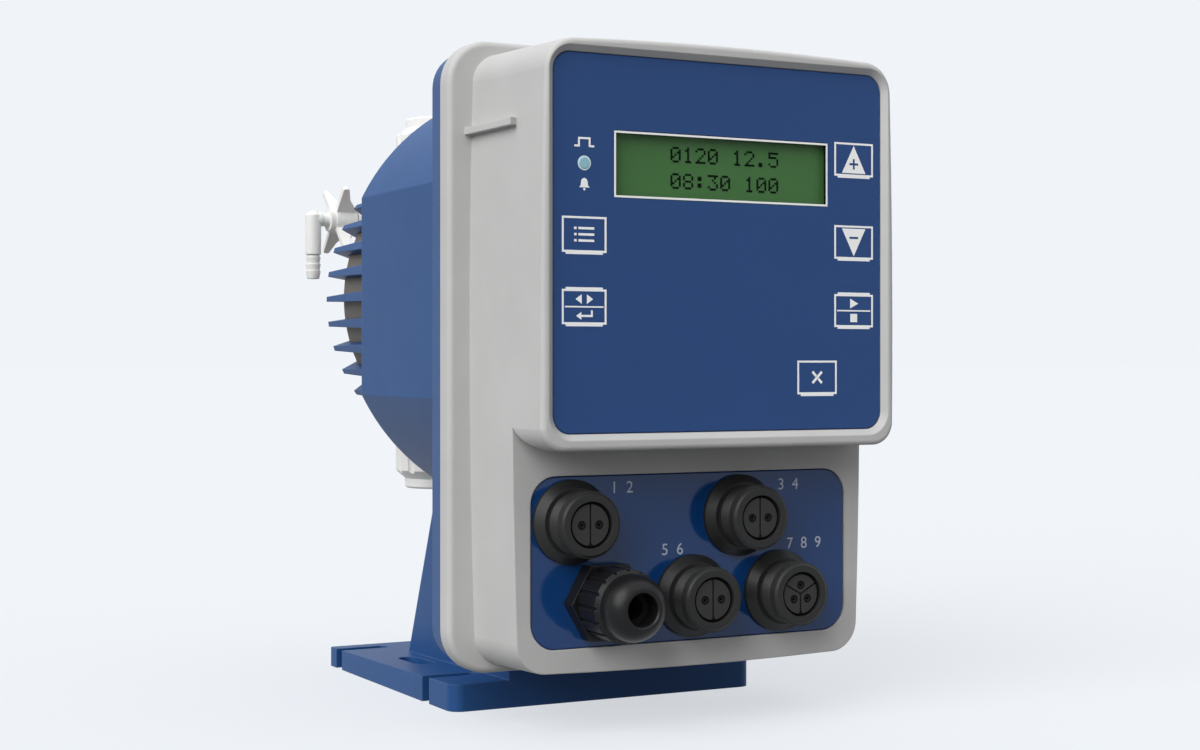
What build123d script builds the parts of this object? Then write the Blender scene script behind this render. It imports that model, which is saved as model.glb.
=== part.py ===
from build123d import *
from math import cos, radians, sin, sqrt
import os

os.makedirs("parts", exist_ok=True)

# Frame: millimetres, +Z up, the control panel faces -Y, +X is to the right for its reader.
# Depths are written from the plane between the grey front housing and the blue rear housing;
# every finished piece is then set about the middle of the foot's underside, the origin.

# Clearances
face_gap = 0.05  # between faces that bear on each other, curved or on moving pieces
fit_gap = 0.03  # radial, screws and pressed pieces in their holes
run_gap = 0.08  # radial, running and sliding fits
loose_gap = 0.3  # radial, pieces that pass through a hole without bearing on it
key_gap = 0.12  # round each key

# Joint between the housings
flange_width = 125.0
flange_low = 14.8
flange_high = 188.5
flange_thickness = 5.6
flange_corner = 12.0
flange_round = 1.6
gasket_inset = 3.3
gasket_width = 2.3
gasket_depth = 1.8

# Front housing, outline at its root on the flange
casing_inset_low = 8.1  # from the flange's side to the casing's, at its foot, middle and top
casing_inset_mid = 6.4
casing_inset_high = 7.6
casing_rise = 2.4
casing_fall = 3.9
casing_half_low = flange_width / 2 - casing_inset_low
casing_half_mid = flange_width / 2 - casing_inset_mid
casing_half_high = flange_width / 2 - casing_inset_high
casing_low = flange_low + casing_rise
casing_high = flange_high - casing_fall
casing_low_sag = 1.0
casing_high_sag = 1.4
casing_corner = 8.5
casing_draft = 1.6
casing_wall = 2.6
casing_edge_round = 1.3
box_front = 31.0  # how far the connector box stands out of the joint plane
hood_front = 48.2
hood_low = 77.2
hood_root_low = 83.2
hood_corner = 6.5
cove_reach = 14.0  # of the curved underside, from the connector box's front
cove_mid_reach = 4.5
cove_mid_rise = 2.1
side_rib_z = 163.3
side_rib_thickness = 2.0
side_rib_height = 2.3
side_rib_reach = 33.0
side_rib_taper = 1.0
side_rib_tip = 3.0

# Screws that hold the housings together
housing_screw_inset = 14.5
housing_screw_x = flange_width / 2 - housing_screw_inset
housing_screw_high_inset = 10.3
housing_screw_low_inset = 8.8
housing_screw_radius = 2.0
housing_screw_head = 3.6
housing_screw_head_height = 3.0
housing_screw_length = 18.0
housing_column_radius = 4.2
housing_column_length = 18.0
housing_column_end = 2.0
housing_drive_radius = 1.7
housing_drive_depth = 1.8

# Membrane panel in the hood
rim_bevel = 1.6
panel_recess = 1.5
panel_thickness = 2.0
panel_corner = 5.0
panel_side_rim = 3.4
panel_low_rim = 4.4
panel_high_rim = 4.2
panel_seat_gap = 0.1
panel_wall = 2.4
panel_chamfer = 0.3

# Keys
key_width = 14.7
key_height = 12.2
key_corner = 1.2
key_thickness = 1.4
key_travel = 0.4
key_stem_radius = 2.0
key_column_inset = 20.3  # from the flange's side
key_column_x = flange_width / 2 - key_column_inset
key_row_high = 156.3
key_row_mid = 133.1
key_row_low = 114.5
escape_key_step = 12.2
escape_key_x = key_column_x - escape_key_step
escape_key_z = 95.6
dome_radius = 3.0
dome_height = 0.8

# Display
window_key_gap = 1.35
window_width = 2 * key_column_x - key_width - 2 * window_key_gap
window_height = 17.5
window_corner = 0.5
window_z = 151.9
module_side = 2.1
module_width = window_width + 2 * module_side
module_height = 24.0
module_corner = 0.8
module_thickness = 5.2
glass_margin = 0.8
glass_thickness = 1.0
lamp_x = -key_column_x
lamp_z = 151.7
lamp_radius = 1.5
lamp_flange_radius = 1.9
lamp_flange_height = 1.0
lens_rise = 0.25
lens_round = 0.2
display_board_inset = 12.5
display_board_half = flange_width / 2 - display_board_inset
display_board_low = 90.0
display_board_high = 176.0
board_thickness = 1.6
board_corner = 1.5
display_screw_inset = 3.5
display_screw_x = display_board_half - display_screw_inset

# Connector box
plate_inset = 12.5
plate_half = flange_width / 2 - plate_inset
plate_low = 23.8
plate_high = 70.0
plate_corner = 7.5
plate_thickness = 2.0
plate_recess = 0.35
plate_seat_gap = 0.1
box_wall = 2.6
row_high = 57.7
row_low = 36.1
socket_edge = 12.0
socket_places = [
    (socket_edge - plate_half, row_high),
    (0.288 * plate_half, row_high),
    (-0.012 * plate_half, row_low),
    (0.552 * plate_half, row_low),
]
three_pole_socket = 3
gland_x = -0.572 * plate_half

# Round sockets
socket_flange_radius = 11.35
socket_flange_edge = 1.2
socket_flange_height = 3.4
socket_flange_top = 9.3
socket_thread_crest = 8.55
socket_thread_root = 8.05
socket_thread_pitch = 1.0
socket_thread_turns = 5
socket_height = 12.2
socket_mouth_radius = 6.2
socket_mouth_depth = 0.7
socket_neck_radius = 7.0
socket_tail = 9.0
socket_tail_bore = 5.0
socket_insert_length = 8.0
socket_collar_start = 9.3
socket_collar_end = 11.7
socket_front_radius = 8.0
socket_contact_tail = 2.0
socket_contact_recess = 0.2
socket_ring_width = 0.75
socket_ring_depth = 0.8
socket_slot_width = 0.5
socket_contact_radius = 0.75
socket_contact_bore = 0.4
socket_contact_place = 2.55
socket_contact_depth = 5.0
socket_key_size = 1.3
socket_nut_radius = 10.0
socket_nut_thickness = 3.0

# Cable gland
gland_across_flats = 20.0
gland_hex_height = 5.0
gland_thread_radius = 7.6
gland_thread_length = 11.0
gland_nut_radius = 9.9
gland_dome_radius = 8.8
gland_rib_length = 9.4
gland_height = 23.3
gland_dome_round = 5.6
gland_mouth_radius = 4.4
gland_seal_radius = 3.2
gland_seal_wall = 2.9
gland_seal_length = 9.0
gland_grooves = 16
gland_groove_radius = 0.55
gland_body_bore = 6.3
gland_tail = 9.0
gland_locknut_flats = 21.0
gland_locknut_thickness = 3.6

# Control board
control_board_inset = 15.5
control_board_half = flange_width / 2 - control_board_inset
control_board_low = 28.6
control_board_high = 79.0
control_board_front = 14.0  # how far its front face stands before the joint plane
control_screw_side = 3.0
control_screw_inset = 4.5
control_screw_x = control_board_half - control_screw_side
control_screw_low = control_board_low + control_screw_inset
control_screw_high = control_board_high - control_screw_inset
board_boss_radius = 3.0
board_screw_radius = 1.25
board_screw_head = 2.4
board_screw_head_height = 1.6
board_screw_grip = 4.0
board_screw_end_gap = 0.4
board_screw_drive = 2.4
column_root = 0.5

# Taller parts on the control board
transformer_x = -20.0
transformer_z = 52.0
transformer_width = 30.0
transformer_height = 26.0
transformer_depth = 16.0
capacitor_x = 10.0
capacitor_step = 18.0
capacitor_z = 62.0
capacitor_radius = 7.0
capacitor_length = 17.0
terminal_x = 18.0
terminal_z = 39.0
terminal_width = 30.0
terminal_height = 8.0
terminal_depth = 10.0

# Rear housing: plate and drum
joint_plate_depth = 9.2
joint_plate_draft = 8.0
joint_plate_gap = 0.3
drum_axis_z = 121.0
drum_drop = 0.6  # of the drum's round outline below the solenoid's axis
drum_radius = 67.4
drum_start = 1.0
drum_side_inset = 2.3
drum_half_width = flange_width / 2 - drum_side_inset
drum_rear = 70.0
drum_draft = 1.0
drum_wall = 3.4
drum_edge_round = 2.0

# Rear housing: fin cage and end plate
fin_reach = 118.0
fin_tip_radius = 52.4
fin_root_radius = 54.6
fin_step = 9.0
fins_each_way = 4
fin_tip_thickness = 1.6
fin_root_thickness = 4.0
cage_wall_angle = 46.0
end_plate_radius = 45.4
end_plate_thickness = 7.0
end_plate_overlap = 1.0
tray_margin = 3.0
tray_screw_wall = 2.0

# Rear housing: pedestal and foot
foot_width = 100.8
foot_front = 19.5
foot_rear = 120.5
foot_thick_front = 7.9
foot_thick_rear = 6.1
foot_front_corner = 4.0
foot_rear_corner = 1.5
foot_slot_width = 5.2
foot_slot_front = 39.0
foot_slot_rear = 111.6
foot_slot_reach = 16.6
foot_slot_flat = 0.6
foot_hole_x = 38.6
foot_hole_y = 74.5
foot_hole_width = 6.8
foot_hole_length = 18.0
foot_middle = (foot_front + foot_rear) / 2
pedestal_half_low = 32.0
pedestal_half_high = 36.6
pedestal_rear_low = 98.0
pedestal_rear_high = 60.0
pedestal_top = 69.0
pedestal_wall = 4.0
pedestal_opening = 20.0  # by which its inside runs out to the rear

# Solenoid
can_radius = 49.5
can_wall = 3.0
can_front = 62.0
can_rear = 110.7
can_end_wall = 4.0
can_end_round = 1.2
can_flange_radius = 58.0
can_flange_side_gap = 2.8
can_flange_half = drum_half_width - drum_wall - can_flange_side_gap
can_screw_circle = 54.2
can_screw_angles = (55.0, 125.0, 235.0, 305.0)
can_screw_radius = 1.5
can_screw_length = 7.0
can_screw_head_height = 2.0
cap_thickness = 5.0
tube_wall = 1.4
bobbin_wall = 1.6
bobbin_radius = 44.6
winding_radius = 42.0
pole_length = 22.0
pole_pocket_depth = 13.0
armature_radius = 15.6
armature_gap = 1.4  # between armature and pole at rest
stroke = 1.25
armature_stop_gap = 0.1
cap_boss_radius = 20.0
cap_boss_height = 3.0
rod_radius = 4.5
rod_step_radius = 3.0
bush_wall = 2.0
bush_length = 12.0
spring_radius = 8.6
spring_wire = 0.8
spring_turns = 4

# Diaphragm and head
backing_radius = 39.0
backing_thickness = 4.0
backing_bore = 24.0
end_plate_bore = 11.0
drain_radius = 1.2
diaphragm_radius = 30.5
diaphragm_rim = 2.4
diaphragm_web = 1.2
diaphragm_roll_radius = 18.0
diaphragm_boss_radius = 9.0
diaphragm_roll_half = 3.0
diaphragm_roll_rise = 0.8
diaphragm_rim_slope = 2.0
head_radius = 39.0
head_depth = 7.6
head_edge_round = 1.6
head_block_half = 13.0
head_block_reach = 35.0
chamber_radius = 25.0
chamber_depth = 2.6
chamber_slope = 8.0
head_screw_angles = (33.0, 147.0, 213.0, 327.0)
head_screw_circle = 34.2
head_screw_radius = 2.0
head_screw_head = 3.4
head_screw_head_height = 3.2
head_screw_grip = 6.0
head_drive_radius = 1.6

# Valves
valve_axis_y = 144.5
valve_boss_radius = 15.4
valve_boss_reach = 42.0
valve_thread_radius = 11.0
valve_seat_reach = 31.0  # from the head's axis to the bottom of each valve's hole
valve_collar_radius = 14.4
valve_collar_height = 3.4
valve_top_reach = 58.5
nipple_radius = 2.3
nipple_bore = 1.5
ball_radius = 4.0
ball_lift = 1.5
ball_side_gap = 0.35
seat_bore = 2.6
seat_radius = 7.0
cartridge_nut_thread = 10.5
cartridge_shoulder_reach = 54.0
seat_height = 3.0
head_port_radius = 3.0
chamber_port_radius = 2.4
nut_radius = 16.0
nut_ring_radius = 12.8
nut_low_reach = 47.0
nut_shoulder_reach = 58.6
nut_ring_reach = 61.4
nut_top_reach = 64.8
nut_hose_bore = 3.2
nut_hose_length = 3.5
nut_grooves = 14
nut_groove_radius = 1.6
seal_wire = 1.2

# Bleed valve
bleed_z = 149.2
bleed_boss_radius = 7.0
bleed_boss_end = 26.5
bleed_thread_radius = 4.6
bleed_body_radius = 5.0
bleed_body_end = 32.6
bleed_stem_radius = 1.6
bleed_channel_radius = 1.0
bleed_thread_start = 17.0
bleed_stem_end = 38.5
bleed_stem_lift = 0.75
knob_start = 33.0
knob_length = 7.4
knob_hub_radius = 4.5
knob_wing_radius = 14.6
knob_wing_width = 1.7
knob_wing_tip = 1.9
knob_wing_shoulder = 9.5
knob_wing_shoulder_length = 3.6
knob_disc_radius = 4.0
knob_disc_length = 1.8
knob_neck_radius = 2.3
knob_tip_radius = 1.8
knob_tip_length = 2.6
elbow_reach = 47.6
elbow_radius = 2.7
elbow_chamfer = 1.5
elbow_high = 2.9
elbow_low = 12.0
barb_radius = 2.2
barb_ridge = 0.35
barb_ridges = 3
barb_length = 8.4
barb_bore = 1.2


def facing(y):
    """Plane parallel to the front at depth y; sketches on it read as (x, z)."""
    return Plane.XZ.offset(-y)


def lengthwise(x, z):
    """Plane through a Y-wise axis at (x, z); sketches on it read as (y, radius)."""
    return Plane(origin=(x, 0, z), x_dir=(0, 1, 0), z_dir=(1, 0, 0))


def depth_axis(x, z):
    """Axis along +Y through (x, z)."""
    return Axis((x, 0, z), (0, 1, 0))


def turn(points, plane, axis, mode=Mode.ADD):
    """Revolve a closed polyline about an axis."""
    with BuildSketch(plane) as profile:
        with BuildLine():
            Polyline(*points, close=True)
        make_face()
    revolve(profile.sketch, axis=axis, mode=mode)


def turn_y(points, x, z, mode=Mode.ADD):
    """Revolve a (y, radius) profile about a Y-wise axis."""
    turn(points, lengthwise(x, z), depth_axis(x, z), mode)


def rod_y(places, radius, y_front, y_rear, mode=Mode.ADD):
    """Straight round bars or holes along Y at (x, z) places."""
    with BuildSketch(facing(y_rear)) as section:
        with Locations(*places):
            Circle(radius)
    extrude(section.sketch, amount=y_rear - y_front, mode=mode)


def plate_y(places, width, height, corner, y_front, y_rear, mode=Mode.ADD):
    """Rounded rectangles facing the front at (x, z) places."""
    with BuildSketch(facing(y_rear)) as section:
        with Locations(*places):
            RectangleRounded(width, height, corner)
    extrude(section.sketch, amount=y_rear - y_front, mode=mode)


def save(piece, name):
    """Set a finished sub-part about the foot's middle and write it as a STEP file."""
    placed = piece.part.moved(Location((0, -foot_middle, 0)))
    placed.label = name
    export_step(placed, f"parts/{name}.step")


def flange_outline(y, inset):
    """Rounded rectangle of the joint between the housings."""
    with BuildSketch(facing(y)) as outline:
        with Locations((0, (flange_low + flange_high) / 2)):
            RectangleRounded(
                flange_width - 2 * inset,
                flange_high - flange_low - 2 * inset,
                flange_corner - inset,
            )
    return outline.sketch


def gasket_ring(y_front, y_rear, width, mode=Mode.ADD):
    """Closed band that follows the joint's outline, centred on the gasket's line."""
    height = flange_high - flange_low
    with BuildSketch(facing(y_rear)) as band:
        with Locations((0, (flange_low + flange_high) / 2)):
            for side, way in ((-1, Mode.ADD), (1, Mode.SUBTRACT)):
                change = gasket_inset + side * width / 2
                RectangleRounded(
                    flange_width - 2 * change, height - 2 * change, flange_corner - change, mode=way
                )
    extrude(band.sketch, amount=y_rear - y_front, mode=mode)


def casing_outline(y, inset=0.0):
    """Front housing outline with slightly bowed sides, drafted from its root."""
    narrowing = inset + (-flange_thickness - y) * sin(radians(casing_draft))
    low = casing_low + narrowing
    high = casing_high - narrowing
    half_low = casing_half_low - narrowing
    half_mid = casing_half_mid - narrowing
    half_high = casing_half_high - narrowing
    mid = (low + high) / 2
    with BuildSketch(facing(y)) as outline:
        with BuildLine():
            ThreePointArc((-half_low, low), (0, low - casing_low_sag), (half_low, low))
            ThreePointArc((half_low, low), (half_mid, mid), (half_high, high))
            ThreePointArc((half_high, high), (0, high + casing_high_sag), (-half_high, high))
            ThreePointArc((-half_high, high), (-half_mid, mid), (-half_low, low))
        make_face()
        fillet(outline.vertices(), max(casing_corner - inset, 1.0))
    return outline.sketch


def casing_prism(y_front, y_rear, inset=0.0, mode=Mode.ADD):
    """Drafted body of the front housing between two depths."""
    loft([casing_outline(y_rear, inset), casing_outline(y_front, inset)], mode=mode)


def half_width_at(y, z):
    """Half width of the front housing's outside at a depth and height, nearly."""
    mid = (casing_low + casing_high) / 2
    share = ((z - mid) / (casing_high - mid)) ** 2
    end_half = casing_half_high if z > mid else casing_half_low
    root = casing_half_mid - (casing_half_mid - end_half) * share
    return root - (-flange_thickness - y) * sin(radians(casing_draft))


# Depths and heights that several pieces share
panel_surface = -hood_front + panel_recess
panel_floor = panel_surface + panel_thickness
hood_inner = panel_floor + panel_wall
plate_surface = -box_front + plate_recess
plate_floor = plate_surface + plate_thickness
box_inner = plate_floor + box_wall
hood_half = half_width_at(-hood_front, (hood_low + casing_high) / 2)
panel_half = hood_half - panel_side_rim
panel_low = hood_low + panel_low_rim
panel_high = casing_high - panel_high_rim
panel_z = (panel_low + panel_high) / 2
panel_height = panel_high - panel_low
module_front = panel_floor + face_gap
display_board_front = module_front + module_thickness
display_board_rear = display_board_front + board_thickness
display_screws = [
    (x, z)
    for x in (-display_screw_x, display_screw_x)
    for z in (display_board_low + display_screw_inset, display_board_high - display_screw_inset)
]
control_screws = [
    (x, z)
    for x in (-control_screw_x, control_screw_x)
    for z in (control_screw_low, control_screw_high)
]
housing_screws_at = [
    (x, z)
    for x in (-housing_screw_x, housing_screw_x)
    for z in (flange_low + housing_screw_low_inset, flange_high - housing_screw_high_inset)
]
key_places = {
    "key_plus": (key_column_x, key_row_high),
    "key_minus": (key_column_x, key_row_mid),
    "key_start": (key_column_x, key_row_low),
    "key_escape": (escape_key_x, escape_key_z),
    "key_program": (-key_column_x, key_row_mid),
    "key_mode": (-key_column_x, key_row_low),
}
key_spots = list(key_places.values())
dome_top = display_board_front - dome_height
key_stem_end = dome_top - key_travel - face_gap


# What is cut away below the hood: everything before the connector box's front
with BuildPart() as below_hood:
    with BuildSketch(facing(-box_front)) as block:
        with Locations((0, hood_root_low / 2)):
            Rectangle(2 * flange_width, hood_root_low)
    extrude(block.sketch, amount=hood_front)
    hood_ends = []
    for y in (-box_front + 1, -hood_front - 1):
        half = half_width_at(y, hood_low + hood_corner)
        with BuildSketch(facing(y)) as hood_end:
            with Locations((0, hood_low + hood_front / 2)):
                Rectangle(2 * half, hood_front)
            fillet(hood_end.vertices().group_by(Axis.Y)[0], hood_corner)
        hood_ends.append(hood_end.sketch)
    loft(hood_ends, mode=Mode.SUBTRACT)
    with BuildSketch(Plane.YZ.offset(-flange_width)) as cove:
        with BuildLine():
            ThreePointArc(
                (-box_front, hood_root_low),
                (-box_front - cove_mid_reach, hood_low + cove_mid_rise),
                (-box_front - cove_reach, hood_low),
            )
            Polyline(
                (-box_front - cove_reach, hood_low),
                (-box_front - cove_reach, hood_low - 3),
                (-box_front, hood_low - 3),
                (-box_front, hood_root_low),
            )
        make_face()
    extrude(cove.sketch, amount=2 * flange_width)


# Front housing: flange, connector box and overhanging hood
with BuildPart() as front_housing:
    casing_prism(-hood_front, -flange_thickness)
    add(below_hood.part, mode=Mode.SUBTRACT)
    hood_face = front_housing.faces().filter_by(Axis.Y).sort_by(Axis.Y)[0]
    fillet(hood_face.edges(), casing_edge_round)
    extrude(flange_outline(0, 0.0), amount=flange_thickness)
    flange_front = [
        edge
        for edge in front_housing.edges().filter_by_position(
            Axis.Y, -flange_thickness - 0.01, -flange_thickness + 0.01
        )
        if abs(edge.center().X) > flange_width / 2 - 0.1
        or edge.center().Z > flange_high - 0.1
        or edge.center().Z < flange_low + 0.1
    ]
    fillet(flange_front, flange_round)
    # side ribs by the flange
    for side in (-1, 1):
        rib_x = half_width_at(-flange_thickness, side_rib_z) + side_rib_height
        with BuildSketch(Plane.XY.offset(side_rib_z - side_rib_thickness / 2)) as rib:
            with BuildLine():
                Polyline(
                    (side * (rib_x - 4 * side_rib_height), -flange_thickness / 2),
                    (side * rib_x, -flange_thickness / 2),
                    (side * (rib_x - side_rib_taper), -side_rib_reach),
                    (side * (rib_x - 4 * side_rib_height), -side_rib_reach + side_rib_tip),
                    close=True,
                )
            make_face()
        extrude(rib.sketch, amount=side_rib_thickness)
    # inside, open to the rear
    casing_prism(box_inner, flange_thickness, inset=casing_wall, mode=Mode.SUBTRACT)
    with BuildSketch(facing(box_inner + 1)) as hood_room:
        with Locations((0, (hood_root_low + casing_wall + casing_high - 3 * casing_wall / 2) / 2)):
            RectangleRounded(
                2 * (hood_half - casing_wall - 0.6),
                casing_high - 3 * casing_wall / 2 - hood_root_low - casing_wall,
                casing_corner - casing_wall,
            )
    extrude(hood_room.sketch, amount=box_inner + 1 - hood_inner, mode=Mode.SUBTRACT)
    # recess of the membrane panel, with a bevelled rim
    with BuildSketch(facing(panel_surface)) as recess_floor:
        with Locations((0, panel_z)):
            RectangleRounded(2 * panel_half, panel_height, panel_corner)
    with BuildSketch(facing(-hood_front)) as recess_mouth:
        with Locations((0, panel_z)):
            RectangleRounded(
                2 * (panel_half + rim_bevel), panel_height + 2 * rim_bevel, panel_corner + rim_bevel
            )
    loft([recess_floor.sketch, recess_mouth.sketch], mode=Mode.SUBTRACT)
    extrude(recess_floor.sketch, amount=-panel_thickness, mode=Mode.SUBTRACT)
    plate_y(
        [(0, window_z)],
        module_width + 2 * loose_gap,
        module_height + 2 * loose_gap,
        1.0,
        panel_floor - 1,
        hood_inner + 1,
        Mode.SUBTRACT,
    )
    rod_y(key_spots, key_stem_radius + loose_gap, panel_floor - 1, hood_inner + 1, Mode.SUBTRACT)
    rod_y([(lamp_x, lamp_z)], lamp_flange_radius + loose_gap, panel_floor - 1, hood_inner + 1, Mode.SUBTRACT)
    # pocket of the connector plate and the holes behind it
    plate_y(
        [(0, (plate_low + plate_high) / 2)],
        2 * plate_half,
        plate_high - plate_low,
        plate_corner,
        -box_front - 1,
        plate_floor,
        Mode.SUBTRACT,
    )
    rod_y(socket_places, socket_neck_radius + loose_gap, plate_floor - 1, box_inner + 1, Mode.SUBTRACT)
    rod_y(
        [(gland_x, row_low)], gland_thread_radius + loose_gap, plate_floor - 1, box_inner + 1, Mode.SUBTRACT
    )
    # columns for the screws
    rod_y(housing_screws_at, housing_column_radius, -housing_column_length, 0)
    rod_y(control_screws, board_boss_radius, box_inner - column_root, -control_board_front)
    rod_y(display_screws, board_boss_radius, hood_inner - column_root, display_board_front)
    rod_y(
        housing_screws_at,
        housing_screw_radius + fit_gap,
        -housing_column_length + housing_column_end,
        1,
        Mode.SUBTRACT,
    )
    for places, board_front in (
        (control_screws, -control_board_front),
        (display_screws, display_board_front),
    ):
        rod_y(
            places,
            board_screw_radius + fit_gap,
            board_front - board_screw_grip - board_screw_end_gap,
            board_front + 1,
            Mode.SUBTRACT,
        )
    # groove of the gasket
    gasket_ring(-gasket_depth, 0, gasket_width + 2 * face_gap, Mode.SUBTRACT)
save(front_housing, "front_housing")


# Seal between the housings
with BuildPart() as housing_gasket:
    gasket_ring(-gasket_depth, 0, gasket_width)
save(housing_gasket, "housing_gasket")


# Film panel with its backing plate; keys, window and lens stand in its openings
with BuildPart() as membrane_panel:
    plate_y(
        [(0, panel_z)],
        2 * (panel_half - panel_seat_gap),
        panel_height - 2 * panel_seat_gap,
        panel_corner,
        panel_surface,
        panel_floor,
    )
    chamfer(membrane_panel.faces().sort_by(Axis.Y)[0].edges(), panel_chamfer)
    plate_y(
        [(0, window_z)],
        window_width + 2 * panel_seat_gap,
        window_height + 2 * panel_seat_gap,
        window_corner + panel_seat_gap,
        panel_surface - 1,
        panel_floor + 1,
        Mode.SUBTRACT,
    )
    plate_y(
        key_spots,
        key_width + 2 * key_gap,
        key_height + 2 * key_gap,
        key_corner + key_gap,
        panel_surface - 1,
        panel_floor + 1,
        Mode.SUBTRACT,
    )
    rod_y([(lamp_x, lamp_z)], lamp_radius + fit_gap, panel_surface - 1, panel_floor + 1, Mode.SUBTRACT)
save(membrane_panel, "membrane_panel")


def make_key(name, place):
    """One sprung key: a tile flush with the film and a stem that reaches its dome."""
    with BuildPart() as key:
        plate_y([place], key_width, key_height, key_corner, panel_surface, panel_surface + key_thickness)
        rod_y([place], key_stem_radius, panel_surface + key_thickness, key_stem_end)
    save(key, name)


for key_name, key_place in key_places.items():
    make_key(key_name, key_place)


# Snap domes on the display board
with BuildPart() as key_domes:
    for dome_x, dome_z in key_spots:
        turn_y(
            [
                (display_board_front, 0),
                (display_board_front, dome_radius),
                (display_board_front - dome_height / 4, dome_radius),
                (dome_top + dome_height / 6, dome_radius / 2),
                (dome_top, dome_radius / 4),
                (dome_top, 0),
            ],
            dome_x,
            dome_z,
        )
save(key_domes, "key_domes")


with BuildPart() as display_window:
    plate_y(
        [(0, window_z)], window_width, window_height, window_corner, panel_surface + face_gap, panel_floor
    )
save(display_window, "display_window")


with BuildPart() as display_glass:
    plate_y(
        [(0, window_z)],
        window_width + 2 * glass_margin,
        window_height + 2 * glass_margin,
        window_corner,
        module_front,
        module_front + glass_thickness,
    )
save(display_glass, "display_glass")


# Metal frame of the display, with a seat for the glass
with BuildPart() as display_frame:
    plate_y([(0, window_z)], module_width, module_height, module_corner, module_front, display_board_front)
    plate_y(
        [(0, window_z)],
        window_width + 2 * glass_margin + 2 * face_gap,
        window_height + 2 * glass_margin + 2 * face_gap,
        window_corner + face_gap,
        module_front - 1,
        module_front + glass_thickness,
        Mode.SUBTRACT,
    )
save(display_frame, "display_frame")


with BuildPart() as status_lens:
    rod_y([(lamp_x, lamp_z)], lamp_radius, panel_surface - lens_rise, panel_floor)
    fillet(status_lens.faces().sort_by(Axis.Y)[0].edges(), lens_round)
save(status_lens, "status_lens")


with BuildPart() as status_lamp:
    rod_y([(lamp_x, lamp_z)], lamp_radius, panel_floor + loose_gap, display_board_front)
    rod_y(
        [(lamp_x, lamp_z)], lamp_flange_radius, display_board_front - lamp_flange_height, display_board_front
    )
save(status_lamp, "status_lamp")


with BuildPart() as display_board:
    plate_y(
        [(0, (display_board_low + display_board_high) / 2)],
        2 * display_board_half,
        display_board_high - display_board_low,
        board_corner,
        display_board_front,
        display_board_rear,
    )
    rod_y(
        display_screws,
        board_screw_radius + loose_gap,
        display_board_front - 1,
        display_board_rear + 1,
        Mode.SUBTRACT,
    )
save(display_board, "display_board")


# Pan-head screws of both boards; their heads are towards the rear
control_board_rear = -control_board_front + board_thickness
with BuildPart() as board_screws:
    for places, seat_y in ((display_screws, display_board_rear), (control_screws, control_board_rear)):
        rod_y(places, board_screw_radius, seat_y - board_thickness - board_screw_grip, seat_y)
        rod_y(places, board_screw_head, seat_y, seat_y + board_screw_head_height)
        with BuildSketch(facing(seat_y + board_screw_head_height)) as drive:
            with Locations(*places):
                Rectangle(board_screw_drive, board_screw_drive / 5)
                Rectangle(board_screw_drive / 5, board_screw_drive)
        extrude(drive.sketch, amount=board_screw_head_height / 2, mode=Mode.SUBTRACT)
save(board_screws, "board_screws")


# Blue plate that the sockets and the gland stand on
with BuildPart() as connector_plate:
    plate_y(
        [(0, (plate_low + plate_high) / 2)],
        2 * (plate_half - plate_seat_gap),
        plate_high - plate_low - 2 * plate_seat_gap,
        plate_corner - plate_seat_gap,
        plate_surface,
        plate_floor,
    )
    chamfer(connector_plate.faces().sort_by(Axis.Y)[0].edges(), panel_chamfer)
    rod_y(socket_places, socket_neck_radius + loose_gap, plate_surface - 1, plate_floor + 1, Mode.SUBTRACT)
    rod_y(
        [(gland_x, row_low)],
        gland_thread_radius + loose_gap,
        plate_surface - 1,
        plate_floor + 1,
        Mode.SUBTRACT,
    )
save(connector_plate, "connector_plate")


def socket_profile():
    """Half section of a socket shell as (y, radius): neck, flange, thread, collar, mouth."""
    tail = plate_surface + socket_tail
    front = plate_surface - socket_height
    insert_seat = front + socket_mouth_depth + socket_insert_length
    points = [
        (tail, socket_tail_bore),
        (tail, socket_neck_radius),
        (plate_surface, socket_neck_radius),
        (plate_surface, socket_flange_radius),
        (plate_surface - socket_flange_edge, socket_flange_radius),
        (plate_surface - socket_flange_height, socket_flange_top),
        (plate_surface - socket_flange_height, socket_thread_root),
    ]
    thread_start = plate_surface - socket_collar_start + socket_thread_turns * socket_thread_pitch
    for k in range(socket_thread_turns):
        y = thread_start - k * socket_thread_pitch
        points.append((y, socket_thread_root))
        points.append((y - socket_thread_pitch / 2, socket_thread_crest))
    collar_y = plate_surface - socket_collar_start
    points += [
        (collar_y, socket_thread_root),
        (collar_y, socket_thread_crest),
        (plate_surface - socket_collar_end, socket_thread_crest),
        (front, socket_front_radius),
        (front, socket_mouth_radius),
        (insert_seat, socket_mouth_radius),
        (insert_seat, socket_tail_bore),
    ]
    return points


def contact_places(centre, poles):
    """Centres of a socket's contacts: side by side, or in a triangle."""
    x, z = centre
    angles = (0, 180) if poles == 2 else (90, 210, 330)
    return [
        (x + socket_contact_place * cos(radians(a)), z + socket_contact_place * sin(radians(a)))
        for a in angles
    ]


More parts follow.
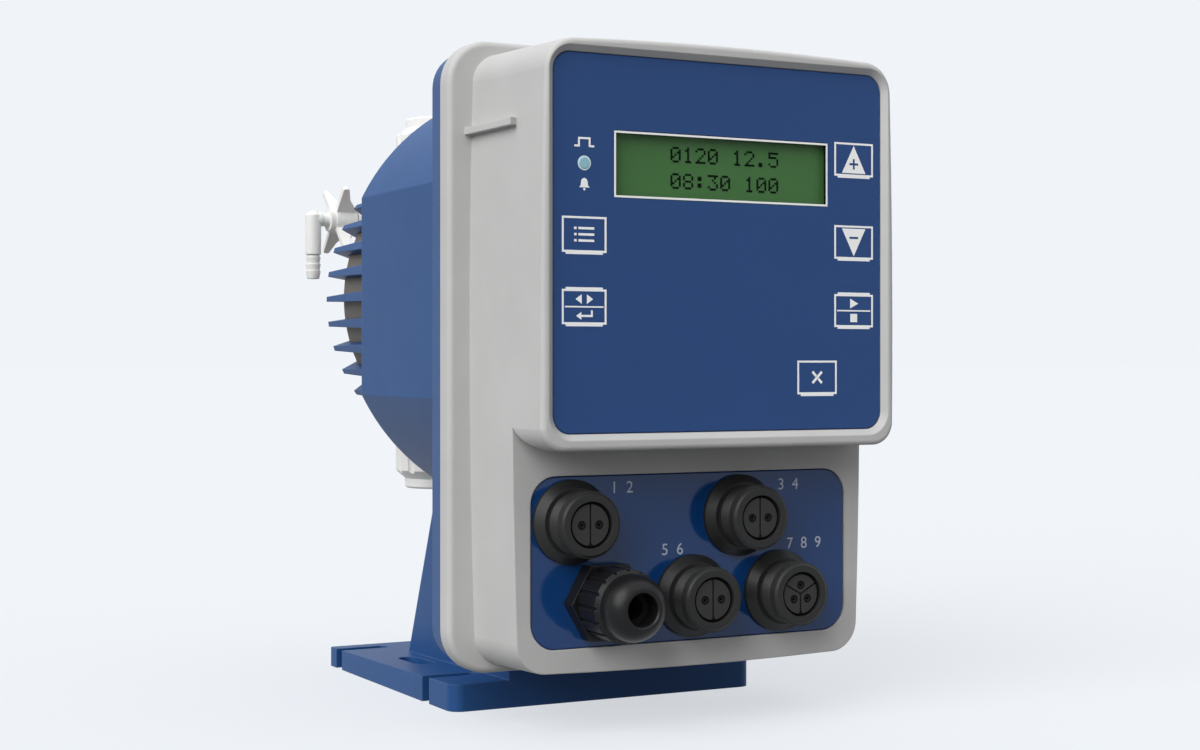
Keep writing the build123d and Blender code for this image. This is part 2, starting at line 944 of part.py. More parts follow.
def make_insert(centre, poles):
    """Slotted insert of one socket, added to the open BuildPart."""
    x, z = centre
    insert_front = plate_surface - socket_height + socket_mouth_depth
    insert_rear = insert_front + socket_insert_length
    insert_radius = socket_mouth_radius - fit_gap
    turn_y(
        [
            (insert_front, 0),
            (insert_front, insert_radius - socket_ring_width),
            (insert_front + socket_ring_depth, insert_radius - socket_ring_width),
            (insert_front + socket_ring_depth, insert_radius),
            (insert_rear, insert_radius),
            (insert_rear, 0),
        ],
        x,
        z,
    )
    rod_y(
        contact_places(centre, poles),
        socket_contact_radius + fit_gap,
        insert_front - 1,
        insert_rear + 1,
        Mode.SUBTRACT,
    )
    reach = insert_radius - socket_ring_width
    with BuildSketch(facing(insert_front + socket_ring_depth)) as slots:
        if poles == 2:
            with Locations((x, z)):
                Rectangle(socket_slot_width, 2 * reach)
        else:
            with Locations((x, z)):
                with PolarLocations(0, 3, 30):
                    Rectangle(reach, socket_slot_width, align=(Align.MIN, Align.CENTER))
        with Locations((x, z - reach)):
            RegularPolygon(socket_key_size, 3, rotation=90)
    extrude(slots.sketch, amount=socket_ring_depth, mode=Mode.SUBTRACT)


socket_poles = [3 if index == three_pole_socket else 2 for index in range(len(socket_places))]
contacts_at = []
for index, (socket_centre, pole_count) in enumerate(zip(socket_places, socket_poles)):
    socket_x, socket_z = socket_centre
    with BuildPart() as socket_shell:
        turn_y(socket_profile(), socket_x, socket_z)
    save(socket_shell, f"socket_shell_{index + 1}")
    contacts_at += contact_places(socket_centre, pole_count)


with BuildPart() as socket_inserts:
    for socket_centre, pole_count in zip(socket_places, socket_poles):
        make_insert(socket_centre, pole_count)
save(socket_inserts, "socket_inserts")


# Contact sleeves of all four sockets
with BuildPart() as socket_contacts:
    contact_front = plate_surface - socket_height + socket_mouth_depth + socket_contact_recess
    contact_rear = plate_surface + socket_tail + socket_contact_tail
    rod_y(contacts_at, socket_contact_radius, contact_front, contact_rear)
    rod_y(
        contacts_at,
        socket_contact_bore,
        contact_front - 1,
        contact_front + socket_contact_depth,
        Mode.SUBTRACT,
    )
save(socket_contacts, "socket_contacts")


# Nuts that hold the sockets from inside the wall
with BuildPart() as socket_nuts:
    with BuildSketch(facing(box_inner + socket_nut_thickness)) as nut_faces:
        with Locations(*socket_places):
            RegularPolygon(socket_nut_radius, 6)
            Circle(socket_neck_radius + fit_gap, mode=Mode.SUBTRACT)
    extrude(nut_faces.sketch, amount=socket_nut_thickness)
save(socket_nuts, "socket_nuts")


# Cable gland: hexagon body, seal, ribbed nut with a round dome, locknut
gland_nut_rear = plate_surface - gland_hex_height - loose_gap
gland_nut_step = gland_nut_rear - gland_rib_length
gland_front = plate_surface - gland_height
gland_body_front = plate_surface - gland_hex_height - gland_thread_length
with BuildPart() as gland_body:
    with BuildSketch(facing(plate_surface)) as gland_hex:
        with Locations((gland_x, row_low)):
            RegularPolygon(gland_across_flats / 2, 6, major_radius=False)
    extrude(gland_hex.sketch, amount=gland_hex_height)
    rod_y([(gland_x, row_low)], gland_thread_radius, gland_body_front, plate_surface + gland_tail)
    rod_y(
        [(gland_x, row_low)],
        gland_body_bore,
        gland_body_front - 1,
        plate_surface + gland_tail + 1,
        Mode.SUBTRACT,
    )
save(gland_body, "gland_body")


with BuildPart() as gland_seal:
    seal_rear = gland_body_front + gland_seal_length
    turn_y(
        [
            (gland_body_front - 1, gland_seal_radius),
            (gland_body_front - 1, gland_seal_radius + gland_seal_wall - 1),
            (gland_body_front, gland_seal_radius + gland_seal_wall),
            (seal_rear, gland_seal_radius + gland_seal_wall),
            (seal_rear, gland_seal_radius),
        ],
        gland_x,
        row_low,
    )
save(gland_seal, "gland_seal")


with BuildPart() as gland_nut:
    with BuildSketch(lengthwise(gland_x, row_low)) as nut_section:
        with BuildLine():
            Polyline(
                (gland_nut_rear, gland_thread_radius + face_gap),
                (gland_nut_rear, gland_nut_radius),
                (gland_nut_step, gland_nut_radius),
                (gland_nut_step - 0.8, gland_dome_radius),
                (gland_front + gland_dome_round + 0.8, gland_dome_radius),
            )
            ThreePointArc(
                (gland_front + gland_dome_round + 0.8, gland_dome_radius),
                (gland_front + gland_dome_round * 0.32, gland_dome_radius * 0.87),
                (gland_front, gland_mouth_radius + 1.1),
            )
            Polyline(
                (gland_front, gland_mouth_radius + 1.1),
                (gland_front, gland_mouth_radius + 0.4),
                (gland_front + 0.4, gland_mouth_radius),
                (gland_front + gland_dome_round, gland_mouth_radius),
                (gland_body_front - 1 - face_gap, gland_mouth_radius + 0.8),
                (gland_body_front - face_gap, gland_thread_radius + face_gap),
                (gland_nut_rear, gland_thread_radius + face_gap),
            )
        make_face()
    revolve(nut_section.sketch, axis=depth_axis(gland_x, row_low))
    with BuildSketch(facing(gland_nut_rear)) as grooves:
        with Locations((gland_x, row_low)):
            with PolarLocations(gland_nut_radius, gland_grooves):
                Circle(gland_groove_radius)
    extrude(grooves.sketch, amount=gland_rib_length + 1, mode=Mode.SUBTRACT)
save(gland_nut, "gland_nut")


with BuildPart() as gland_locknut:
    with BuildSketch(facing(box_inner + gland_locknut_thickness)) as locknut_face:
        with Locations((gland_x, row_low)):
            RegularPolygon(gland_locknut_flats / 2, 6, major_radius=False)
            Circle(gland_thread_radius + fit_gap, mode=Mode.SUBTRACT)
    extrude(locknut_face.sketch, amount=gland_locknut_thickness)
save(gland_locknut, "gland_locknut")


# Control board and the taller parts on its rear side
with BuildPart() as control_board:
    plate_y(
        [(0, (control_board_low + control_board_high) / 2)],
        2 * control_board_half,
        control_board_high - control_board_low,
        board_corner,
        -control_board_front,
        control_board_rear,
    )
    rod_y(
        control_screws,
        board_screw_radius + loose_gap,
        -control_board_front - 1,
        control_board_rear + 1,
        Mode.SUBTRACT,
    )
save(control_board, "control_board")


with BuildPart() as power_parts:
    plate_y(
        [(transformer_x, transformer_z)],
        transformer_width,
        transformer_height,
        board_corner,
        control_board_rear,
        control_board_rear + transformer_depth,
    )
    rod_y(
        [(capacitor_x, capacitor_z), (capacitor_x + capacitor_step, capacitor_z)],
        capacitor_radius,
        control_board_rear,
        control_board_rear + capacitor_length,
    )
    plate_y(
        [(terminal_x, terminal_z)],
        terminal_width,
        terminal_height,
        board_corner,
        control_board_rear,
        control_board_rear + terminal_depth,
    )
save(power_parts, "power_parts")


# Screws between the housings, put in from the rear
housing_seat_y = joint_plate_depth - housing_screw_head_height - 0.2
with BuildPart() as housing_screws:
    rod_y(housing_screws_at, housing_screw_radius, housing_seat_y - housing_screw_length, housing_seat_y)
    rod_y(
        housing_screws_at,
        housing_screw_head,
        housing_seat_y,
        housing_seat_y + housing_screw_head_height,
    )
    with BuildSketch(facing(housing_seat_y + housing_screw_head_height)) as sockets:
        with Locations(*housing_screws_at):
            RegularPolygon(housing_drive_radius, 6)
    extrude(sockets.sketch, amount=housing_drive_depth, mode=Mode.SUBTRACT)
save(housing_screws, "housing_screws")


def drum_section(y, inset):
    """Round drum section with flat sides, drafted along its depth."""
    narrowing = inset + (y - joint_plate_depth) * sin(radians(drum_draft))
    with BuildSketch(facing(y)) as section:
        with Locations((0, drum_axis_z - drum_drop)):
            Circle(drum_radius - narrowing)
            Rectangle(2 * (drum_half_width - narrowing), 4 * drum_radius, mode=Mode.INTERSECT)
    return section.sketch


def bar_at(x_half, y_front, y_rear, z):
    """Horizontal rectangle at height z, for lofting the pedestal."""
    with BuildSketch(Plane.XY.offset(z)) as section:
        with Locations((0, (y_front + y_rear) / 2)):
            Rectangle(2 * x_half, y_rear - y_front)
    return section.sketch


# Pedestal: two leaning gussets behind a front wall, open to the rear
with BuildPart() as pedestal:
    root_z = foot_thick_rear / 2
    loft(
        [
            bar_at(pedestal_half_low, joint_plate_depth - 1, pedestal_rear_low, root_z),
            bar_at(pedestal_half_high, joint_plate_depth - 1, pedestal_rear_high, pedestal_top),
        ]
    )
    loft(
        [
            bar_at(
                pedestal_half_low - pedestal_wall,
                foot_front + pedestal_wall,
                pedestal_rear_low + pedestal_opening,
                foot_thick_rear / 2 - 1,
            ),
            bar_at(
                pedestal_half_high - pedestal_wall,
                joint_plate_depth + pedestal_wall,
                pedestal_rear_high + pedestal_opening,
                pedestal_top + 1,
            ),
        ],
        mode=Mode.SUBTRACT,
    )
    with BuildSketch(Plane.YZ.offset(-flange_width / 2)) as toe:
        with Locations((foot_front / 2, flange_low / 2)):
            Rectangle(foot_front, flange_low)
    extrude(toe.sketch, amount=flange_width, mode=Mode.SUBTRACT)


# Fins: tapered blades that point away from the drum's axis, kept only in the cage's ring
with BuildPart() as fin_cage:
    fin_start = drum_rear - drum_wall
    cage_bore = can_radius + loose_gap
    end_plate_front = fin_reach - end_plate_thickness
    blade_base = end_plate_radius - 2 * end_plate_overlap
    turn_y(
        [
            (fin_start, cage_bore),
            (fin_start, fin_root_radius),
            (fin_reach, fin_tip_radius),
            (fin_reach, end_plate_radius - end_plate_overlap),
            (end_plate_front, end_plate_radius - end_plate_overlap),
            (end_plate_front, cage_bore),
        ],
        0,
        drum_axis_z,
    )
    with BuildSketch(facing(fin_reach + 1)) as arcs:
        reach = 2 * fin_root_radius
        across = reach * cos(radians(cage_wall_angle))
        up = reach * sin(radians(cage_wall_angle))
        for side in (-1, 1):
            with BuildLine():
                Polyline(
                    (0, drum_axis_z),
                    (across, drum_axis_z + side * up),
                    (-across, drum_axis_z + side * up),
                    close=True,
                )
            make_face()
    with BuildPart(mode=Mode.PRIVATE) as kept:
        extrude(arcs.sketch, amount=fin_reach - fin_start + 2)
        for k in range(-fins_each_way, fins_each_way + 1):
            for fin_angle in (k * fin_step, 180 - k * fin_step):
                outward = (cos(radians(fin_angle)), 0, sin(radians(fin_angle)))
                blade_plane = Plane(origin=(0, 0, drum_axis_z), x_dir=(0, 1, 0), z_dir=outward)
                with BuildSketch(blade_plane.offset(blade_base)) as blade:
                    with BuildLine():
                        Polyline(
                            (fin_start - 1, -fin_root_thickness / 2),
                            (fin_reach + 1, -fin_tip_thickness / 2),
                            (fin_reach + 1, fin_tip_thickness / 2),
                            (fin_start - 1, fin_root_thickness / 2),
                            close=True,
                        )
                    make_face()
                extrude(blade.sketch, amount=fin_root_radius - blade_base + 1)
    add(kept.part, mode=Mode.INTERSECT)


# Rear housing: joint plate, drum, fin cage, end plate, pedestal and foot in one moulding
with BuildPart() as rear_housing:
    extrude(flange_outline(0, joint_plate_gap), amount=-joint_plate_depth, taper=joint_plate_draft)
    loft([drum_section(drum_start, 0), drum_section(drum_rear, 0)])
    drum_back = rear_housing.faces().filter_by(Axis.Y).sort_by(Axis.Y)[-1]
    fillet(drum_back.edges(), drum_edge_round)
    add(pedestal.part)
    with BuildSketch(Plane.YZ.offset(-foot_width / 2)) as foot_side:
        with BuildLine():
            Polyline(
                (foot_front, 0),
                (foot_rear, 0),
                (foot_rear, foot_thick_rear),
                (foot_front, foot_thick_front),
                close=True,
            )
        make_face()
    extrude(foot_side.sketch, amount=foot_width)
    for corner_y, corner in ((foot_front, foot_front_corner), (foot_rear, foot_rear_corner)):
        foot_corners = [
            edge
            for edge in rear_housing.edges().filter_by(Axis.Z)
            if abs(abs(edge.center().X) - foot_width / 2) < 0.01 and abs(edge.center().Y - corner_y) < 1
        ]
        fillet(foot_corners, corner)
    # hollow drum and plate, with solid land for gasket and screws
    loft(
        [drum_section(-1, drum_wall), drum_section(drum_rear - drum_wall, drum_wall)],
        mode=Mode.SUBTRACT,
    )
    with BuildSketch(facing(0)) as tray:
        with Locations((0, (flange_low + flange_high) / 2)):
            Rectangle(
                flange_width - 2 * (gasket_inset + gasket_width + tray_margin),
                flange_high - flange_low - 2 * (gasket_inset + gasket_width + tray_margin),
            )
        with Locations(*housing_screws_at):
            Circle(housing_column_radius + tray_screw_wall, mode=Mode.SUBTRACT)
    extrude(tray.sketch, amount=-(joint_plate_depth - drum_wall), mode=Mode.SUBTRACT)
    rod_y(housing_screws_at, housing_screw_radius + fit_gap, -1, drum_rear, Mode.SUBTRACT)
    rod_y(
        housing_screws_at,
        housing_screw_head + loose_gap,
        housing_seat_y,
        drum_rear,
        Mode.SUBTRACT,
    )
    # seat and passage of the solenoid can, then the cage around it
    rod_y([(0, drum_axis_z)], can_radius + loose_gap, can_front, drum_rear + 1, Mode.SUBTRACT)
    add(fin_cage.part)
    rod_y([(0, drum_axis_z)], end_plate_radius, end_plate_front, fin_reach)
    rod_y([(0, drum_axis_z)], end_plate_bore, end_plate_front - 1, fin_reach + 1, Mode.SUBTRACT)
    can_screws_at = [
        (can_screw_circle * cos(radians(a)), drum_axis_z + can_screw_circle * sin(radians(a)))
        for a in can_screw_angles
    ]
    head_screws_at = [
        (head_screw_circle * cos(radians(a)), drum_axis_z + head_screw_circle * sin(radians(a)))
        for a in head_screw_angles
    ]
    rod_y(
        can_screws_at,
        can_screw_radius + fit_gap,
        can_front,
        can_front + can_screw_length + 1,
        Mode.SUBTRACT,
    )
    rod_y(head_screws_at, head_screw_radius + fit_gap, end_plate_front - 1, fin_reach + 1, Mode.SUBTRACT)
    # side-open fixing slots and the long hole in each side of the foot
    with BuildSketch(Plane.XY.offset(-1)) as foot_cuts:
        for side in (-1, 1):
            for slot_y in (foot_slot_front, foot_slot_rear):
                inner_x = foot_width / 2 - foot_slot_reach
                with Locations((side * (inner_x + foot_width) / 2, slot_y)):
                    Rectangle(foot_width - inner_x, foot_slot_width)
                fillet(
                    foot_cuts.vertices().filter_by_position(
                        Axis.X, side * inner_x - 0.01, side * inner_x + 0.01
                    ).filter_by_position(
                        Axis.Y, slot_y - foot_slot_width, slot_y + foot_slot_width
                    ),
                    foot_slot_width / 2 - foot_slot_flat,
                )
            with Locations((side * foot_hole_x, foot_hole_y)):
                SlotOverall(foot_hole_length, foot_hole_width, rotation=90)
    extrude(foot_cuts.sketch, amount=2 * foot_thick_front, mode=Mode.SUBTRACT)
save(rear_housing, "rear_housing")


# Solenoid can with a flat-sided mounting flange
can_flange_rear = drum_rear - drum_wall - face_gap
with BuildPart() as solenoid_can:
    with BuildSketch(facing(can_flange_rear)) as can_flange:
        with Locations((0, drum_axis_z)):
            Circle(can_flange_radius)
            Rectangle(2 * can_flange_half, 4 * can_radius, mode=Mode.INTERSECT)
    extrude(can_flange.sketch, amount=can_flange_rear - can_front)
    rod_y([(0, drum_axis_z)], can_radius, can_front, can_rear)
    fillet(solenoid_can.faces().sort_by(Axis.Y)[-1].edges(), can_end_round)
    rod_y([(0, drum_axis_z)], can_radius - can_wall, can_front - 1, can_rear - can_end_wall, Mode.SUBTRACT)
    rod_y(
        [(0, drum_axis_z)],
        rod_radius + run_gap + bush_wall + fit_gap,
        can_rear - can_end_wall - 1,
        can_rear + 1,
        Mode.SUBTRACT,
    )
    rod_y(can_screws_at, can_screw_radius + fit_gap, can_front - 1, can_rear, Mode.SUBTRACT)
save(solenoid_can, "solenoid_can")


with BuildPart() as can_screws:
    rod_y(can_screws_at, can_screw_radius, can_front, can_front + can_screw_length)
    rod_y(can_screws_at, 2 * can_screw_radius, can_front - can_screw_head_height, can_front)
save(can_screws, "can_screws")


# Drive inside the can, all on the drum's axis; depths follow from the can
tube_bore = armature_radius + run_gap
tube_radius = tube_bore + tube_wall
pole_rear = can_rear - can_end_wall
pole_front = pole_rear - pole_length
armature_front = can_front + armature_stop_gap
armature_rear = pole_front - armature_gap
bush_radius = rod_radius + run_gap + bush_wall
spring_outer = spring_radius + spring_wire
backing_rear = fin_reach + backing_thickness
rod_end = backing_rear + diaphragm_rim / 2


with BuildPart() as solenoid_cap:
    turn_y(
        [
            (can_front - cap_boss_height, 0),
            (can_front - cap_boss_height, cap_boss_radius),
            (can_front, cap_boss_radius),
            (can_front, can_radius - can_wall - fit_gap),
            (can_front + cap_thickness, can_radius - can_wall - fit_gap),
            (can_front + cap_thickness, tube_radius + fit_gap),
            (can_front, tube_radius + fit_gap),
            (can_front, 0),
        ],
        0,
        drum_axis_z,
    )
save(solenoid_cap, "solenoid_cap")


with BuildPart() as guide_tube:
    rod_y([(0, drum_axis_z)], tube_radius, can_front, pole_rear)
    rod_y([(0, drum_axis_z)], tube_bore, can_front - 1, pole_rear + 1, Mode.SUBTRACT)
save(guide_tube, "guide_tube")


bobbin_front = can_front + cap_thickness
bobbin_tube = tube_radius + fit_gap + bobbin_wall
with BuildPart() as coil_bobbin:
    turn_y(
        [
            (bobbin_front, tube_radius + fit_gap),
            (bobbin_front, bobbin_radius),
            (bobbin_front + bobbin_wall, bobbin_radius),
            (bobbin_front + bobbin_wall, bobbin_tube),
            (pole_rear - bobbin_wall, bobbin_tube),
            (pole_rear - bobbin_wall, bobbin_radius),
            (pole_rear, bobbin_radius),
            (pole_rear, tube_radius + fit_gap),
        ],
        0,
        drum_axis_z,
    )
save(coil_bobbin, "coil_bobbin")


with BuildPart() as coil_winding:
    rod_y([(0, drum_axis_z)], winding_radius, bobbin_front + bobbin_wall, pole_rear - bobbin_wall)
    rod_y([(0, drum_axis_z)], bobbin_tube + fit_gap, bobbin_front, pole_rear, Mode.SUBTRACT)
save(coil_winding, "coil_winding")


with BuildPart() as pole_core:
    turn_y(
        [
            (pole_front, spring_outer + loose_gap),
            (pole_front, tube_bore - fit_gap),
            (pole_rear, tube_bore - fit_gap),
            (pole_rear, bush_radius + fit_gap),
            (pole_front + pole_pocket_depth, bush_radius + fit_gap),
            (pole_front + pole_pocket_depth, spring_outer + loose_gap),
        ],
        0,
        drum_axis_z,
    )
save(pole_core, "pole_core")


with BuildPart() as rod_bush:
    rod_y([(0, drum_axis_z)], bush_radius, can_rear - bush_length, can_rear)
    rod_y([(0, drum_axis_z)], rod_radius + run_gap, can_rear - bush_length - 1, can_rear + 1, Mode.SUBTRACT)
save(rod_bush, "rod_bush")


# Moving iron with its push rod; the rod's thin end carries the diaphragm
with BuildPart() as armature:
    turn_y(
        [
            (armature_front, 0),
            (armature_front, armature_radius - 0.6),
            (armature_front + 0.6, armature_radius),
            (armature_rear - 0.6, armature_radius),
            (armature_rear, armature_radius - 0.6),
            (armature_rear, rod_radius),
            (fin_reach - stroke - loose_gap, rod_radius),
            (fin_reach - stroke - loose_gap, rod_step_radius),
            (rod_end, rod_step_radius),
            (rod_end, 0),
        ],
        0,
        drum_axis_z,
    )
save(armature, "armature")


# Return spring between armature and pole
spring_length = pole_front + pole_pocket_depth - armature_rear - 2 * spring_wire - 2 * face_gap
with BuildPart() as return_spring:
    with BuildLine() as coil:
        Helix(
            spring_length / spring_turns,
            spring_length,
            spring_radius,
            center=(0, armature_rear + spring_wire + face_gap, drum_axis_z),
            direction=(0, 1, 0),
        )
    with BuildSketch(Plane(origin=coil.line @ 0, z_dir=coil.line % 0)):
        RegularPolygon(spring_wire, 6)
    sweep(path=coil.line, is_frenet=True)
save(return_spring, "return_spring")


# Ring between end plate and diaphragm, with the leak drain
with BuildPart() as backing_ring:
    rod_y([(0, drum_axis_z)], backing_radius, fin_reach, backing_rear)
    rod_y([(0, drum_axis_z)], backing_bore, fin_reach - 1, backing_rear + 1, Mode.SUBTRACT)
    rod_y(head_screws_at, head_screw_radius + loose_gap, fin_reach - 1, backing_rear + 1, Mode.SUBTRACT)
    with BuildSketch(Plane.XY.offset(drum_axis_z - backing_radius - 1)) as drain:
        with Locations((0, fin_reach + backing_thickness / 2)):
            Circle(drain_radius)
    extrude(drain.sketch, amount=backing_radius - backing_bore + 2, mode=Mode.SUBTRACT)
save(backing_ring, "backing_ring")


# Diaphragm: clamped rim, thin rolled web, thick boss on the rod
web_front = backing_rear + (diaphragm_rim - diaphragm_web) / 2
web_rear = web_front + diaphragm_web
rim_inside = backing_bore + diaphragm_rim_slope + 0.5
roll_half_rear = diaphragm_roll_half + diaphragm_web / 3
with BuildPart() as diaphragm:
    with BuildSketch(lengthwise(0, drum_axis_z)) as half:
        with BuildLine():
            Polyline(
                (rod_end + fit_gap, 0),
                (rod_end + fit_gap, rod_step_radius + fit_gap),
                (fin_reach - stroke - loose_gap + face_gap, rod_step_radius + fit_gap),
                (fin_reach - stroke - loose_gap + face_gap, diaphragm_boss_radius - 1.5),
                (fin_reach + 1, diaphragm_boss_radius),
                (web_front, diaphragm_boss_radius + 1),
                (web_front, diaphragm_roll_radius - diaphragm_roll_half),
            )
            ThreePointArc(
                (web_front, diaphragm_roll_radius - diaphragm_roll_half),
                (web_front + diaphragm_roll_rise, diaphragm_roll_radius),
                (web_front, diaphragm_roll_radius + diaphragm_roll_half),
            )
            Polyline(
                (web_front, diaphragm_roll_radius + diaphragm_roll_half),
                (web_front, rim_inside - diaphragm_rim_slope),
                (backing_rear, rim_inside),
                (backing_rear, diaphragm_radius),
                (backing_rear + diaphragm_rim, diaphragm_radius),
                (backing_rear + diaphragm_rim, rim_inside),
                (web_rear, rim_inside - diaphragm_rim_slope),
                (web_rear, diaphragm_roll_radius + roll_half_rear),
            )
            ThreePointArc(
                (web_rear, diaphragm_roll_radius + roll_half_rear),
                (web_rear + diaphragm_roll_rise, diaphragm_roll_radius),
                (web_rear, diaphragm_roll_radius - roll_half_rear),
            )
            Polyline(
                (web_rear, diaphragm_roll_radius - roll_half_rear),
                (web_rear, 0),
                (rod_end + fit_gap, 0),
            )
        make_face()
    revolve(half.sketch, axis=depth_axis(0, drum_axis_z))
save(diaphragm, "diaphragm")


# Places along the valves' vertical line, measured outwards from the head's axis
ball_rise = sqrt(ball_radius**2 - seat_bore**2) + face_gap
ball_room = 2 * ball_rise + ball_lift + 2 * face_gap
cage_reach = valve_seat_reach + seat_height
pocket_reach = valve_seat_reach + seat_height + ball_room
seat_pocket_radius = seat_radius + fit_gap


def upright(radius, low, high, mode=Mode.ADD, side=1):
    """Vertical bar or hole on the valve line between two reaches, up or down."""
    base = drum_axis_z + (low if side > 0 else -high)
    with BuildSketch(Plane.XY.offset(base)) as section:
        with Locations((0, valve_axis_y)):
            Circle(radius)
    extrude(section.sketch, amount=high - low, mode=mode)


def turn_valve(points, side, mode=Mode.ADD):
    """Revolve a (radius, reach) profile about the valve line, upwards or downwards."""
    plane = Plane(origin=(0, valve_axis_y, drum_axis_z), x_dir=(1, 0, 0), z_dir=(0, -1, 0))
    turn([(r, side * reach) for r, reach in points], plane, Axis((0, valve_axis_y, 0), (0, 0, 1)), mode)


def turn_bleed(points, mode=Mode.ADD):
    """Revolve a (reach, radius) profile about the bleed valve's axis, which points to -X."""
    plane = Plane(origin=(0, valve_axis_y, bleed_z), x_dir=(-1, 0, 0), z_dir=(0, 1, 0))
    turn(points, plane, Axis((0, valve_axis_y, bleed_z), (-1, 0, 0)), mode)


# Pump head: chamber, two valve bosses and the boss of the bleed valve
head_rear = backing_rear + head_depth
with BuildPart() as pump_head:
    rod_y([(0, drum_axis_z)], head_radius, backing_rear, head_rear)
    fillet(pump_head.faces().sort_by(Axis.Y)[-1].edges(), head_edge_round)
    with BuildSketch(facing(valve_axis_y)) as block:
        with Locations((0, drum_axis_z)):
            Rectangle(2 * head_block_half, 2 * head_block_reach)
    extrude(block.sketch, amount=valve_axis_y - backing_rear - 1)
    upright(valve_boss_radius, -valve_boss_reach, valve_boss_reach)
    turn_bleed(
        [
            (0, 0),
            (0, bleed_boss_radius),
            (bleed_boss_end, bleed_boss_radius),
            (bleed_boss_end, 0),
        ]
    )
    rod_y(
        [(0, drum_axis_z)],
        diaphragm_radius + fit_gap,
        backing_rear - 1,
        backing_rear + diaphragm_rim,
        Mode.SUBTRACT,
    )
    turn_y(
        [
            (backing_rear, 0),
            (backing_rear, chamber_radius),
            (backing_rear + diaphragm_rim, chamber_radius),
            (backing_rear + diaphragm_rim + chamber_depth, chamber_radius - chamber_slope),
            (backing_rear + diaphragm_rim + chamber_depth, 0),
        ],
        0,
        drum_axis_z,
        Mode.SUBTRACT,
    )
    rod_y([(0, drum_axis_z)], chamber_port_radius, backing_rear, valve_axis_y, Mode.SUBTRACT)
    upright(head_port_radius, -valve_seat_reach - 1, valve_seat_reach + 1, Mode.SUBTRACT)
    for side in (-1, 1):
        upright(
            valve_thread_radius + fit_gap, valve_seat_reach, valve_boss_reach + 1, Mode.SUBTRACT, side
        )
        upright(
            valve_thread_radius + 2 * seal_wire,
            valve_boss_reach - seal_wire - face_gap,
            valve_boss_reach + 1,
            Mode.SUBTRACT,
            side,
        )
    turn_bleed(
        [
            (0, 0),
            (0, bleed_channel_radius),
            (bleed_thread_start, bleed_channel_radius),
            (bleed_thread_start, bleed_thread_radius + fit_gap),
            (bleed_boss_end + 1, bleed_thread_radius + fit_gap),
            (bleed_boss_end + 1, 0),
        ],
        Mode.SUBTRACT,
    )
    rod_y(head_screws_at, head_screw_radius + loose_gap, backing_rear - 1, head_rear + 1, Mode.SUBTRACT)
save(pump_head, "pump_head")


with BuildPart() as head_screws:
    head_screw_end = head_rear + head_screw_head_height
    rod_y(head_screws_at, head_screw_radius, fin_reach - head_screw_grip, head_rear)
    rod_y(head_screws_at, head_screw_head, head_rear, head_screw_end)
    with BuildSketch(facing(head_screw_end)) as hex_sockets:
        with Locations(*head_screws_at):
            RegularPolygon(head_drive_radius, 6)
    extrude(hex_sockets.sketch, amount=head_screw_head_height / 2, mode=Mode.SUBTRACT)
save(head_screws, "head_screws")


def make_valve(name, side):
    """Ball, screwed cartridge and hose nut of one valve; side is up or down."""
    ball_reach = cage_reach + ball_rise if side > 0 else pocket_reach - seat_height - ball_rise
    with BuildPart() as ball:
        with Locations((0, valve_axis_y, drum_axis_z + side * ball_reach)):
            Sphere(ball_radius)
    save(ball, f"{name}_ball")
    with BuildPart() as cartridge:
        turn_valve(
            [
                (seat_pocket_radius, valve_seat_reach),
                (valve_thread_radius, valve_seat_reach),
                (valve_thread_radius, valve_boss_reach),
                (valve_collar_radius, valve_boss_reach),
                (valve_collar_radius, valve_boss_reach + valve_collar_height),
                (cartridge_nut_thread, valve_boss_reach + valve_collar_height),
                (cartridge_nut_thread, cartridge_shoulder_reach),
                (nipple_radius + 2.2, cartridge_shoulder_reach),
                (nipple_radius, valve_top_reach),
                (nipple_bore, valve_top_reach),
                (nipple_bore, pocket_reach + 4),
                (seat_bore, pocket_reach + 2),
                (seat_bore, pocket_reach),
                (seat_pocket_radius, pocket_reach),
            ],
            side,
        )
    save(cartridge, f"{name}_valve")
    with BuildPart() as nut:
        turn_valve(
            [
                (cartridge_nut_thread + face_gap, nut_low_reach),
                (nut_radius - 0.8, nut_low_reach),
                (nut_radius, nut_low_reach + 0.8),
                (nut_radius, nut_shoulder_reach),
                (nut_ring_radius, nut_ring_reach),
                (nut_ring_radius, nut_top_reach - 0.6),
                (nut_ring_radius - 0.6, nut_top_reach),
                (nut_hose_bore, nut_top_reach),
                (nut_hose_bore, nut_top_reach - nut_hose_length),
                (nut_hose_bore + 2.6, valve_top_reach - 2.4),
                (cartridge_nut_thread + face_gap, cartridge_shoulder_reach + 0.6),
            ],
            side,
        )
        groove_base = drum_axis_z + (nut_low_reach - 1 if side > 0 else -nut_ring_reach)
        with BuildSketch(Plane.XY.offset(groove_base)) as grooves:
            with Locations((0, valve_axis_y)):
                with PolarLocations(nut_radius + nut_groove_radius * 0.4, nut_grooves):
                    Circle(nut_groove_radius)
        extrude(grooves.sketch, amount=nut_ring_reach - nut_low_reach + 1, mode=Mode.SUBTRACT)
    save(nut, f"{name}_nut")


make_valve("suction", -1)
make_valve("discharge", 1)


# Both balls sit on the lower ring of their pocket: seat below, cage above
with BuildPart() as valve_seats:
    for side, seat_low in ((-1, pocket_reach - seat_height), (1, valve_seat_reach)):
        upright(seat_radius, seat_low, seat_low + seat_height, side=side)
        upright(seat_bore, seat_low - 1, seat_low + seat_height + 1, Mode.SUBTRACT, side)
save(valve_seats, "valve_seats")


with BuildPart() as valve_cages:
    for side, cage_low in ((-1, valve_seat_reach), (1, cage_reach)):
        upright(seat_radius, cage_low, cage_low + ball_room, side=side)
        upright(ball_radius + ball_side_gap, cage_low - 1, cage_low + ball_room + 1, Mode.SUBTRACT, side)
save(valve_cages, "valve_cages")


